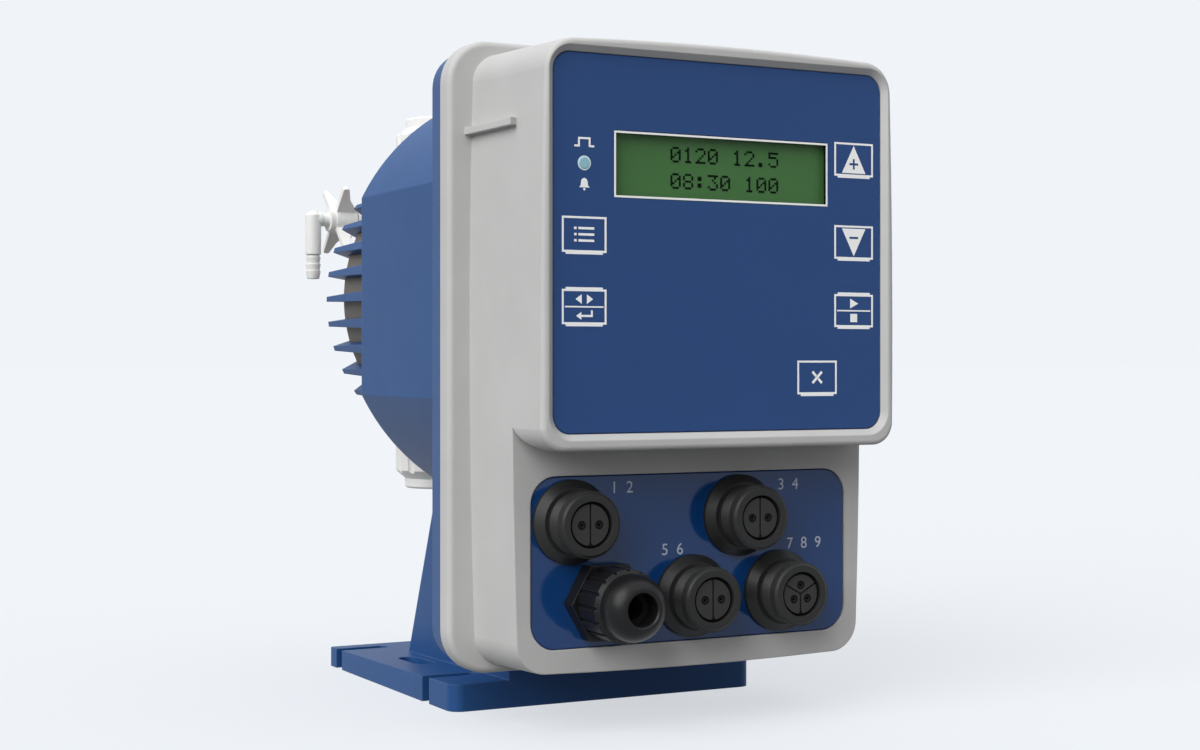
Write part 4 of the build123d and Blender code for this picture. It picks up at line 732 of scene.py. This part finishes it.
@dataclass
class KeyPad:
    """Film keys with their printed frames and signs."""

    prints: tuple[KeyPrint, ...] = (
        KeyPrint("key_plus", "plus_key", Sign.UP, 151.9 * MM, 161.2 * MM),
        KeyPrint("key_minus", "minus_key", Sign.DOWN, 128.9 * MM, 138.2 * MM),
        KeyPrint("key_start", "start_key", Sign.RUN_HALT, 110.0 * MM, 119.1 * MM, True),
        KeyPrint("key_escape", "escape_key", Sign.CROSS, 91.45 * MM, 100.7 * MM),
        KeyPrint("key_program", "program_key", Sign.LIST, 128.6 * MM, 137.9 * MM),
        KeyPrint("key_mode", "mode_key", Sign.CHOOSE_ENTER, 110.0 * MM, 119.1 * MM, True),
    )
    opening_gap: float = 0.12 * MM
    slip: float = 0.01 * MM
    corner: float = 1.2 * MM
    thickness: float = 1.4 * MM
    stem_radius: float = 2.0 * MM
    frame_width: float = 13.0 * MM
    line: float = 0.55 * MM
    layer: float = 0.004 * MM
    bar_width: float = 10.8 * MM
    bar_height: float = 0.95 * MM
    bar_reach: float = 0.5 * MM
    sizes: SignSizes = SignSizes()

    def build(self) -> None:
        """Build every key's top and its print."""
        for key in self.prints:
            self.build_key(key)
            self.print_key(key)

    def build_key(self, key: KeyPrint) -> None:
        """Build one key as a piece of film that fills its opening, with its stem.

        Args:
            key: The key.
        """
        low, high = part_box(key.node)
        middle = face_middle(key.node)
        margin = self.opening_gap - self.slip
        width = high.x - low.x + 2 * margin
        height = high.z - low.z + 2 * margin
        shape = bmesh.new()
        tile = rounded_outline(middle, width, height, self.corner + margin)
        add_prism(shape, tile, low.y, low.y + self.thickness)
        stem = round_outline(middle, self.stem_radius)
        add_prism(shape, stem, low.y + self.thickness / 2, high.y)
        piece = add_piece(f"{key.node}_film", close_mesh(shape, key.node), PANEL_FILM, key.body)
        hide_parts(key.node)

    def print_key(self, key: KeyPrint) -> None:
        """Print one key's frame and its sign.

        Args:
            key: The key.
        """
        x = face_middle(key.node)[0]
        half = self.frame_width / 2
        ink = Ink(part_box(key.node)[0].y)
        ink.frame((x - half, key.low), (x + half, key.high), self.line)
        ink.front -= self.layer
        bar_shift = self.bar_height / 2 - self.bar_reach
        ink.bar((x, key.low + bar_shift), self.bar_width, self.bar_height)
        if key.bar_above:
            ink.bar((x, key.high - bar_shift), self.bar_width, self.bar_height)
        self.draw_sign(ink, key, x)
        ink.finish(f"{key.node}_print", WHITE_INK, key.body)
        if key.sign in (Sign.UP, Sign.DOWN):
            self.mark_triangle(key, x, ink.front)

    def draw_sign(self, ink: Ink, key: KeyPrint, x: float) -> None:
        """Draw the white part of a key's sign.

        Args:
            ink: The print it goes into.
            key: The key.
            x: Middle of the key.
        """
        middle = (key.low + key.high) / 2
        if key.sign in (Sign.UP, Sign.DOWN):
            self.draw_triangle(ink, (x, middle), 1 if key.sign is Sign.UP else -1)
        elif key.sign is Sign.LIST:
            self.draw_list(ink, (x, middle))
        elif key.sign is Sign.CROSS:
            self.draw_cross(ink, (x, middle))
        else:
            ink.bar((x, middle), self.sizes.divider_width, self.sizes.divider_line)
            upper = (x, (middle + key.high - self.line) / 2)
            lower = (x, (middle + key.low + self.line) / 2)
            if key.sign is Sign.RUN_HALT:
                self.draw_run_halt(ink, upper, lower)
            else:
                self.draw_choose_enter(ink, upper, lower)

    def draw_triangle(self, ink: Ink, middle: Point, way: int) -> None:
        """Draw a filled triangle.

        Args:
            ink: The print it goes into.
            middle: Middle of its height.
            way: 1 when it points up, -1 when it points down.
        """
        x, z = middle
        half = self.sizes.triangle_base / 2
        rise = way * self.sizes.triangle_rise
        foot = z - rise / 2
        ink.fill([(x - half, foot), (x + half, foot), (x, foot + rise)])

    def draw_list(self, ink: Ink, middle: Point) -> None:
        """Draw three lines with a dot before each.

        Args:
            ink: The print it goes into.
            middle: Middle of the sign.
        """
        sizes = self.sizes
        for row in (-1, 0, 1):
            z = middle[1] + row * sizes.list_pitch
            ink.bar((middle[0] + sizes.list_bar_shift, z), sizes.list_bar, sizes.list_line)
            ink.bar((middle[0] + sizes.list_dot_shift, z), sizes.list_dot, sizes.list_line)

    def draw_cross(self, ink: Ink, middle: Point) -> None:
        """Draw a cross from one whole line and two halves, which don't overlap.

        Args:
            ink: The print it goes into.
            middle: Middle of the sign.
        """
        x, z = middle
        arm, line = self.sizes.cross_arm, self.sizes.cross_line
        ink.fill(line_outline([(x - arm, z - arm), (x + arm, z + arm)], line))
        for end in (-1, 1):
            start = (x - end * line / 2, z + end * line / 2)
            ink.fill(line_outline([start, (x - end * arm, z + end * arm)], line))

    def draw_run_halt(self, ink: Ink, upper: Point, lower: Point) -> None:
        """Draw a run arrowhead over a halt square.

        Args:
            ink: The print it goes into.
            upper: Middle of the key's upper half.
            lower: Middle of its lower half.
        """
        x, z = upper
        back, half = x + self.sizes.run_back, self.sizes.run_half
        ink.fill([(back, z - half), (x + self.sizes.run_tip, z), (back, z + half)])
        ink.bar(lower, self.sizes.halt_side, self.sizes.halt_side)

    def draw_choose_enter(self, ink: Ink, upper: Point, lower: Point) -> None:
        """Draw two arrowheads over a return arrow.

        Args:
            ink: The print it goes into.
            upper: Middle of the key's upper half.
            lower: Middle of its lower half.
        """
        x, z = upper
        half = self.sizes.choose_half
        for side in (-1, 1):
            back = x + side * self.sizes.choose_back
            tip = x + side * self.sizes.choose_tip
            ink.fill([(back, z - half), (tip, z), (back, z + half)])
        hook = place_outline(self.sizes.hook, lower, MM)
        ink.fill(line_outline(hook, self.sizes.hook_line))
        ink.fill(place_outline(self.sizes.hook_head, lower, MM))

    def mark_triangle(self, key: KeyPrint, x: float, surface: float) -> None:
        """Print the blue plus or minus on a key's triangle, a third up from its base.

        Args:
            key: The key.
            x: Middle of the key.
            surface: Depth of the white triangle's front.
        """
        rising = key.sign is Sign.UP
        way = 1 if rising else -1
        line, reach = self.sizes.mark_line, self.sizes.mark_reach
        z = (key.low + key.high) / 2 - way * self.sizes.triangle_rise / 6
        ink = Ink(surface, self.sizes.mark_thickness)
        ink.bar((x, z), 2 * reach, line)
        if rising:
            rest = reach - line / 2
            for end in (-1, 1):
                ink.bar((x, z + end * (line + rest) / 2), line, rest)
        ink.finish(f"{key.node}_mark", PANEL_FILM, key.body)


@dataclass
class ControlPanel:
    """Film panel with its printed lines and its status lamp.

    The pulse is in millimetres in the pump's frame. The bell's parts are in shares of its size.
    """

    pulse: tuple[Point, ...] = (
        (-45.1, 156.1),
        (-43.75, 156.1),
        (-43.75, 158.1),
        (-40.65, 158.1),
        (-40.65, 156.1),
        (-39.3, 156.1),
    )
    pulse_line: float = 0.52 * MM
    lens_rim: float = 0.38 * MM
    lens_gap: float = 0.03 * MM
    bell_place: Point = (-42.2 * MM, 146.4 * MM)
    bell_size: float = 1.35 * MM
    bell_rim: Point = (1.15, -0.75)
    bell_waist: Point = (0.8, -0.4)
    bell_dome: tuple[float, float, float] = (0.72, 0.8, 0.25)
    bell_clapper: tuple[float, float] = (-1.08, 0.24)

    def build(self) -> None:
        """Dress the panel's own parts and print what stands beside the keys."""
        dress(PANEL_FILM, "membrane_panel")
        dress(SPRING_STEEL, "key_domes")
        dress(LENS, "status_lens", "status_lamp")
        dress(BOARD, "display_board")
        dress(STEEL, "board_screws")
        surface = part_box("membrane_panel")[0].y
        ink = Ink(surface)
        ink.fill(line_outline(place_outline(self.pulse, (0.0, 0.0), MM), self.pulse_line))
        self.draw_bell(ink)
        ink.finish("panel_print", WHITE_INK, "housing")
        self.ring_lens(surface)

    def draw_bell(self, ink: Ink) -> None:
        """Draw a small bell under the lamp.

        Args:
            ink: The print it goes into.
        """
        rim, waist = self.bell_rim, self.bell_waist
        half, rise, shoulder = self.bell_dome
        turns = [math.pi * step / 10 for step in range(1, 10)]
        dome = [(half * math.cos(a), shoulder + rise * math.sin(a)) for a in turns]
        outline = [(-rim[0], rim[1]), rim, waist, *dome, (-waist[0], waist[1])]
        ink.fill(place_outline(outline, self.bell_place, self.bell_size))
        drop, radius = (share * self.bell_size for share in self.bell_clapper)
        x, z = self.bell_place
        ink.fill(round_outline((x, z + drop), radius, 16))

    def ring_lens(self, surface: float) -> None:
        """Print the pale ring round the status lens.

        Args:
            surface: Depth of the panel's face.
        """
        low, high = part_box("status_lens")
        middle = face_middle("status_lens")
        inside = (high.x - low.x) / 2 + self.lens_gap
        ink = Ink(surface)
        outer = round_outline(middle, inside + self.lens_rim, 40)
        ink.band(outer, round_outline(middle, inside, 40))
        ink.finish("lens_ring", LENS_RING, "housing")


@dataclass
class DotTree:
    """Geometry nodes that set one small dot on each point."""

    material: bpy.types.Material
    sizes: dict[str, float]

    def build(self) -> bpy.types.NodeTree:
        """Build the tree, with one named input for each of the dot's sizes.

        Returns:
            The tree.
        """
        tree = bpy.data.node_groups.new("display_dots", "GeometryNodeTree")
        tree.interface.new_socket("Points", in_out="INPUT", socket_type="NodeSocketGeometry")
        for name in self.sizes:
            tree.interface.new_socket(name, in_out="INPUT", socket_type="NodeSocketFloat")
        tree.interface.new_socket("Dots", in_out="OUTPUT", socket_type="NodeSocketGeometry")
        wiring = Wiring(tree)
        given = wiring.add("NodeGroupInput")
        size = wiring.add("ShaderNodeCombineXYZ")
        for name, axis in zip(self.sizes, ("X", "Y", "Z")):
            wiring.link(given.outputs[name], size.inputs[axis])
        dot = wiring.add("GeometryNodeMeshCube")
        wiring.link(size.outputs["Vector"], dot.inputs["Size"])
        spread = wiring.add("GeometryNodeInstanceOnPoints")
        wiring.link(given.outputs["Points"], spread.inputs["Points"])
        wiring.link(dot.outputs["Mesh"], spread.inputs["Instance"])
        real = wiring.add("GeometryNodeRealizeInstances")
        wiring.link(spread.outputs["Instances"], real.inputs["Geometry"])
        painted = wiring.add("GeometryNodeSetMaterial", Material=self.material)
        wiring.link(real.outputs["Geometry"], painted.inputs["Geometry"])
        result = wiring.add("NodeGroupOutput")
        wiring.link(painted.outputs["Geometry"], result.inputs["Dots"])
        return tree

    def grow(self, places: Sequence[Vector]) -> bpy.types.Mesh:
        """Set a dot on each place.

        Args:
            places: Middles of the dots.

        Returns:
            One plain mesh with all the dots.
        """
        points = bpy.data.meshes.new("dot_places")
        points.from_pydata([tuple(place) for place in places], [], [])
        carrier = bpy.data.objects.new("dot_carrier", points)
        bpy.context.scene.collection.objects.link(carrier)
        tree = self.build()
        modifier = carrier.modifiers.new("dots", "NODES")
        modifier.node_group = tree
        for item in tree.interface.items_tree:
            if item.in_out == "INPUT" and item.name in self.sizes:
                modifier[item.identifier] = self.sizes[item.name]
        return take_mesh(carrier)


@dataclass
class Display:
    """Two-line display behind a clear window, which shows plain numbers."""

    lines: tuple[str, ...] = ("0120 12.5", "08:30 100")
    first_column: int = 4
    columns: int = 16
    column_pitch: float = 3.85 * MM
    dot_pitch_across: float = 0.64 * MM
    dots_across: int = 5
    dot_pitch_up: float = 0.6 * MM
    dot_share: float = 0.98
    dot_thickness: float = 0.02 * MM
    line_tops: tuple[float, ...] = (157.5 * MM, 150.5 * MM)
    outline_line: float = 0.52 * MM
    outline_inset: float = 0.08 * MM
    outline_thickness: float = 0.07 * MM
    edge_corner: float = 0.5 * MM
    edge_reach: tuple[float, float] = (0.09 * MM, 0.02 * MM)
    digits: dict[str, tuple[int, ...]] = field(
        default_factory=lambda: {
            "0": (14, 17, 19, 21, 25, 17, 14),
            "1": (4, 12, 4, 4, 4, 4, 14),
            "2": (14, 17, 1, 2, 4, 8, 31),
            "3": (31, 2, 4, 2, 1, 17, 14),
            "5": (31, 16, 30, 1, 1, 17, 14),
            "8": (14, 17, 17, 14, 17, 17, 14),
            ":": (0, 12, 12, 0, 12, 12, 0),
            ".": (0, 0, 0, 0, 0, 12, 12),
        }
    )

    def build(self) -> None:
        """Dress the display, set its dots and print the outline of its window."""
        dress(DISPLAY_GREEN, "display_glass")
        dress(DISPLAY_FRAME, "display_frame")
        dress(WINDOW, "display_window")
        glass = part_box("display_glass")[0].y
        places = []
        for row, line in enumerate(self.lines):
            places += self.spell(row, line, glass)
        sizes = {
            "Dot Width": self.dot_pitch_across * self.dot_share,
            "Dot Thickness": self.dot_thickness,
            "Dot Height": self.dot_pitch_up * self.dot_share,
        }
        dots = DotTree(DISPLAY_INK.build(), sizes).grow(places)
        add_piece("display_numbers", dots, DISPLAY_INK, "housing")
        self.line_window()

    def spell(self, row: int, line: str, glass: float) -> list[Vector]:
        """Place the dots of one line of numbers.

        Args:
            row: Which line it is, from the top.
            line: What it shows.
            glass: Depth of the display's face.

        Returns:
            The dots' middles.
        """
        places = []
        left = -self.columns * self.column_pitch / 2 + self.dot_pitch_across / 2
        for column, sign in enumerate(line, self.first_column):
            for down, dots in enumerate(self.digits.get(sign, ())):
                for across in range(self.dots_across):
                    if dots >> (self.dots_across - 1 - across) & 1:
                        x = left + column * self.column_pitch + across * self.dot_pitch_across
                        z = self.line_tops[row] - (down + 0.5) * self.dot_pitch_up
                        places.append(Vector((x, glass - self.dot_thickness / 2, z)))
        return places

    def line_window(self) -> None:
        """Print the white outline on the window and line its edge in black."""
        low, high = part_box("display_window")
        inset = self.outline_inset
        left_low, right_high = (low.x + inset, low.z + inset), (high.x - inset, high.z - inset)
        ink = Ink(low.y, self.outline_thickness)
        ink.frame(left_low, right_high, self.outline_line)
        ink.finish("window_outline", WHITE_INK, "housing")
        middle = face_middle("display_window")
        width, height = high.x - low.x, high.z - low.z
        shade = Ink(high.y, high.y - low.y)
        outer, inner = (
            rounded_outline(middle, width + 2 * grow, height + 2 * grow, self.edge_corner + grow)
            for grow in self.edge_reach
        )
        shade.band(outer, inner)
        shade.finish("window_edge", DISPLAY_FRAME, "housing")


@dataclass
class ConnectorBox:
    """Blue plate with round sockets, their pin numbers and the cable gland.

    Each number is given with the place of its foot's middle, in millimetres, and each socket
    with the turns of its contacts, in degrees.
    """

    numbers: tuple[tuple[str, float, float], ...] = (
        ("1  2", -22.4, 65.0),
        ("3  4", 31.0, 64.4),
        ("5  6", -6.7, 47.6),
        ("7  8  9", 36.3, 47.6),
    )
    contact_turns: tuple[tuple[int, ...], ...] = ((0, 180), (0, 180), (0, 180), (90, 210, 330))
    number_size: float = 4.5 * MM
    number_thickness: float = 0.03 * MM
    mouth_shade_thickness: float = 0.012 * MM
    contact_reach: float = 2.55 * MM
    contact_radius: float = 0.78 * MM
    hole_radius: float = 1.2 * MM
    insert_radius: float = 5.42 * MM
    groove_width: float = 0.75 * MM
    groove_depth: float = 0.8 * MM
    groove_shade_sheet: float = 0.02 * MM
    groove_steps: int = 64
    collar_radius: float = 8.55 * MM
    collar_front: float = 0.55 * MM
    ridge_count: int = 4
    ridge_pitch: float = 0.62 * MM
    ridge_width: float = 0.34 * MM
    ridge_height: float = 0.24 * MM
    ridge_root: float = 0.05 * MM
    ridge_steps: int = 72

    def build(self) -> None:
        """Dress the plate, sockets, gland and what lies behind them, and print the numbers."""
        dress(PLATE_GLOSS, "connector_plate")
        dress(BLACK_PLASTIC, *(f"socket_shell_{number}" for number in range(1, 5)))
        dress(INSERT_PLASTIC, "socket_inserts")
        dress(CONTACT, "socket_contacts")
        dress(BLACK_PLASTIC, "socket_nuts")
        dress(BLACK_GLAND, "gland_body", "gland_nut", "gland_locknut")
        dress(RUBBER, "gland_seal")
        dress(BOARD, "control_board")
        dress(COMPONENT, "power_parts")
        for number, turns in enumerate(self.contact_turns, 1):
            self.finish_socket(number, turns)
        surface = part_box("connector_plate")[0].y
        for order, (text, x, z) in enumerate(self.numbers, 1):
            place = Vector((x * MM, surface, z * MM))
            self.print_number(f"pin_numbers_{order}", text, place)

    def finish_socket(self, number: int, turns: Sequence[int]) -> None:
        """Add one socket's thread, painted shade in the mouths of its contacts and painted shade
        deep in its groove.

        Args:
            number: Which socket it is.
            turns: Where its contacts stand, in degrees.
        """
        middle = face_middle(f"socket_shell_{number}")
        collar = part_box(f"socket_shell_{number}")[0].y + self.collar_front
        crest, root = (
            round_outline(middle, self.collar_radius + rise, self.ridge_steps)
            for rise in (self.ridge_height, -self.ridge_root)
        )
        thread = bmesh.new()
        for turn in range(self.ridge_count):
            front = collar + turn * self.ridge_pitch
            add_band(thread, crest, root, front, front + self.ridge_width)
        name = f"socket_thread_{number}"
        add_piece(name, close_mesh(thread, name), BLACK_PLASTIC, "housing")
        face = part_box("socket_inserts")[0].y
        # Black rings round each contact on the insert's face: painted shade of the contact holes.
        mouths = Ink(face, self.mouth_shade_thickness)
        for turn in map(math.radians, turns):
            x = middle[0] + self.contact_reach * math.cos(turn)
            z = middle[1] + self.contact_reach * math.sin(turn)
            hole = round_outline((x, z), self.hole_radius)
            mouths.band(hole, round_outline((x, z), self.contact_radius))
        mouths.finish(f"contact_mouth_shade_{number}", DISPLAY_FRAME, "housing")
        # Black sheet deep in the gap round the insert: painted shade in the groove.
        groove = Ink(face + self.groove_depth, self.groove_shade_sheet)
        outer, inner = (
            round_outline(middle, self.insert_radius + reach, self.groove_steps)
            for reach in (self.groove_width - self.groove_shade_sheet, self.groove_shade_sheet)
        )
        groove.band(outer, inner)
        groove.finish(f"socket_groove_shade_{number}", DISPLAY_FRAME, "housing")

    def print_number(self, name: str, text: str, place: Vector) -> None:
        """Print plain numbers on the plate.

        Args:
            name: Name of the piece.
            text: The numbers.
            place: Middle of their foot line, on the plate's face.
        """
        curve = bpy.data.curves.new(name, "FONT")
        curve.body = text
        curve.size = self.number_size
        curve.align_x = "CENTER"
        curve.extrude = self.number_thickness / 2
        carrier = bpy.data.objects.new(name, curve)
        bpy.context.scene.collection.objects.link(carrier)
        mesh = take_mesh(carrier)
        lift = Vector((0, -self.number_thickness / 2, 0))
        mesh.transform(Matrix.Translation(place + lift) @ Matrix.Rotation(math.pi / 2, 4, "X"))
        add_piece(name, mesh, PALE_INK, "housing")


@dataclass
class Solenoid:
    """Solenoid drive in its can."""

    def build(self) -> None:
        """Dress the can and the drive inside it."""
        dress(CAN_PAINT, "solenoid_can", "solenoid_cap")
        dress(STEEL, "can_screws", "guide_tube")
        dress(COMPONENT, "coil_bobbin")
        dress(COPPER, "coil_winding")
        dress(TURNED_IRON, "pole_core", "armature")
        dress(BRONZE, "rod_bush")
        dress(SPRING_STEEL, "return_spring")


@dataclass
class PumpHead:
    """White pump head with its valves, nuts and bleed valve."""

    white: tuple[str, ...] = (
        "pump_head",
        "backing_ring",
        "valve_cages",
        "suction_valve",
        "discharge_valve",
        "suction_nut",
        "discharge_nut",
        "bleed_body",
        "bleed_stem",
        "bleed_knob",
        "bleed_elbow",
    )

    def build(self) -> None:
        """Dress the head's mouldings, seals and balls."""
        dress(WHITE_PLASTIC, *self.white)
        dress(STEEL, "head_screws")
        dress(DIAPHRAGM, "diaphragm")
        dress(RUBBER, "valve_seats", "valve_seals")
        dress(CERAMIC, "suction_ball", "discharge_ball")


@dataclass(frozen=True)
class Lamp:
    """One wide soft light from far away."""

    name: str
    from_way: tuple[float, float, float]
    strength: float
    spread: float


@dataclass
class Studio:
    """Pale floor, soft light and the camera of the photograph."""

    camera_place: Vector = field(default_factory=lambda: Vector((-0.2770, -0.5694, 0.10013)))
    camera_yaw: float = 27.87
    lens: float = 59.262
    nearest: float = 0.01
    sensor: float = 36.0
    image_width: int = 1200
    image_height: int = 750
    horizon_row: float = 362.67
    backdrop: Colour = srgb("F0F4F9")
    floor_reach: float = 40.0
    floor_bounce: float = 0.15
    floor_glow: float = 0.7
    open_light: float = 1.24
    sky: float = 0.38
    lamps: tuple[Lamp, ...] = (
        Lamp("left_light", (-0.78, -0.42, 0.62), 3.0, 50.0),
        Lamp("top_light", (0.2, -0.1, 1.0), 1.1, 80.0),
    )

    def build(self) -> None:
        """Make the camera, the floor, the world and the lamps."""
        self.place_camera()
        self.lay_floor()
        self.light_world()
        for lamp in self.lamps:
            self.hang(lamp)
        bpy.context.scene.view_settings.view_transform = "Standard"

    def place_camera(self) -> None:
        """Put the camera where the photograph was taken from."""
        data = bpy.data.cameras.new("photo_camera")
        data.lens = self.lens
        data.sensor_width = self.sensor
        data.shift_y = (self.horizon_row - self.image_height / 2) / self.image_width
        data.clip_start = self.nearest
        data.clip_end = 2 * self.floor_reach
        camera = bpy.data.objects.new("photo_camera", data)
        camera.location = self.camera_place
        camera.rotation_euler = (math.radians(90), 0, -math.radians(self.camera_yaw))
        bpy.context.scene.collection.objects.link(camera)
        bpy.context.scene.camera = camera

    def seen_share(self, wiring: Wiring) -> Socket:
        """Tell what is seen from what only lights.

        Args:
            wiring: Wiring of the floor's material or the world.

        Returns:
            1 for the camera, reflections and glass, 0 for light on the object.
        """
        rays = wiring.add("ShaderNodeLightPath")
        share = rays.outputs["Is Camera Ray"]
        for name in ("Is Glossy Ray", "Is Transmission Ray"):
            either = wiring.add("ShaderNodeMath", operation="MAXIMUM")
            wiring.link(share, either.inputs[0])
            wiring.link(rays.outputs[name], either.inputs[1])
            share = either.outputs[0]
        return share

    def lay_floor(self) -> None:
        """Lay a wide pale floor that looks like the backdrop where no shadow falls."""
        mesh = bpy.data.meshes.new("floor")
        half = self.floor_reach
        corners = [(-half, -half, 0), (half, -half, 0), (half, half, 0), (-half, half, 0)]
        mesh.from_pydata(corners, [], [(0, 1, 2, 3)])
        floor = bpy.data.objects.new("floor", mesh)
        bpy.context.scene.collection.objects.link(floor)
        material = bpy.data.materials.new("pale_floor")
        material.use_nodes = True
        nodes = material.node_tree.nodes
        nodes.remove(nodes["Principled BSDF"])
        wiring = Wiring(material.node_tree)
        bounce = wiring.add("ShaderNodeBsdfDiffuse", Color=(*[self.floor_bounce] * 3, 1))
        lit = (*(c / self.open_light for c in self.backdrop), 1)
        pale = wiring.add("ShaderNodeBsdfDiffuse", Color=lit)
        glow = wiring.add("ShaderNodeEmission", Color=(*self.backdrop, 1), Strength=1.0)
        shown = wiring.add("ShaderNodeMixShader")
        shown.inputs[0].default_value = self.floor_glow
        wiring.link(pale.outputs[0], shown.inputs[1])
        wiring.link(glow.outputs[0], shown.inputs[2])
        both = wiring.mix(bounce.outputs[0], shown.outputs[0], self.seen_share(wiring))
        wiring.link(both, nodes["Material Output"].inputs["Surface"])
        mesh.materials.append(material)

    def light_world(self) -> None:
        """Show the backdrop's colour to the camera and to reflections, and light softly."""
        world = bpy.data.worlds.new("studio")
        bpy.context.scene.world = world
        world.use_nodes = True
        nodes = world.node_tree.nodes
        wiring = Wiring(world.node_tree)
        soft = nodes["Background"]
        soft.inputs["Color"].default_value = (1, 1, 1, 1)
        soft.inputs["Strength"].default_value = self.sky
        seen = wiring.add("ShaderNodeBackground", Color=(*self.backdrop, 1), Strength=1.0)
        both = wiring.mix(soft.outputs[0], seen.outputs[0], self.seen_share(wiring))
        wiring.link(both, nodes["World Output"].inputs["Surface"])

    def hang(self, lamp: Lamp) -> None:
        """Hang one soft light.

        Args:
            lamp: The light.
        """
        data = bpy.data.lights.new(lamp.name, "SUN")
        data.energy = lamp.strength
        data.angle = math.radians(lamp.spread)
        light = bpy.data.objects.new(lamp.name, data)
        light.location = lamp.from_way
        light.rotation_euler = (-Vector(lamp.from_way)).to_track_quat("-Z", "Y").to_euler()
        bpy.context.scene.collection.objects.link(light)


def main() -> None:
    """Build the pump's sub-assemblies in order, then the studio round them."""
    logging.basicConfig(level=logging.INFO, format="%(name)s: %(message)s")
    assemblies = (
        FrontHousing(),
        RearHousing(),
        ControlPanel(),
        KeyPad(),
        Display(),
        ConnectorBox(),
        Solenoid(),
        PumpHead(),
    )
    for assembly in assemblies:
        assembly.build()
        LOG.info("%s done", type(assembly).__name__)
    Studio().build()


if __name__ == "__main__":
    main()
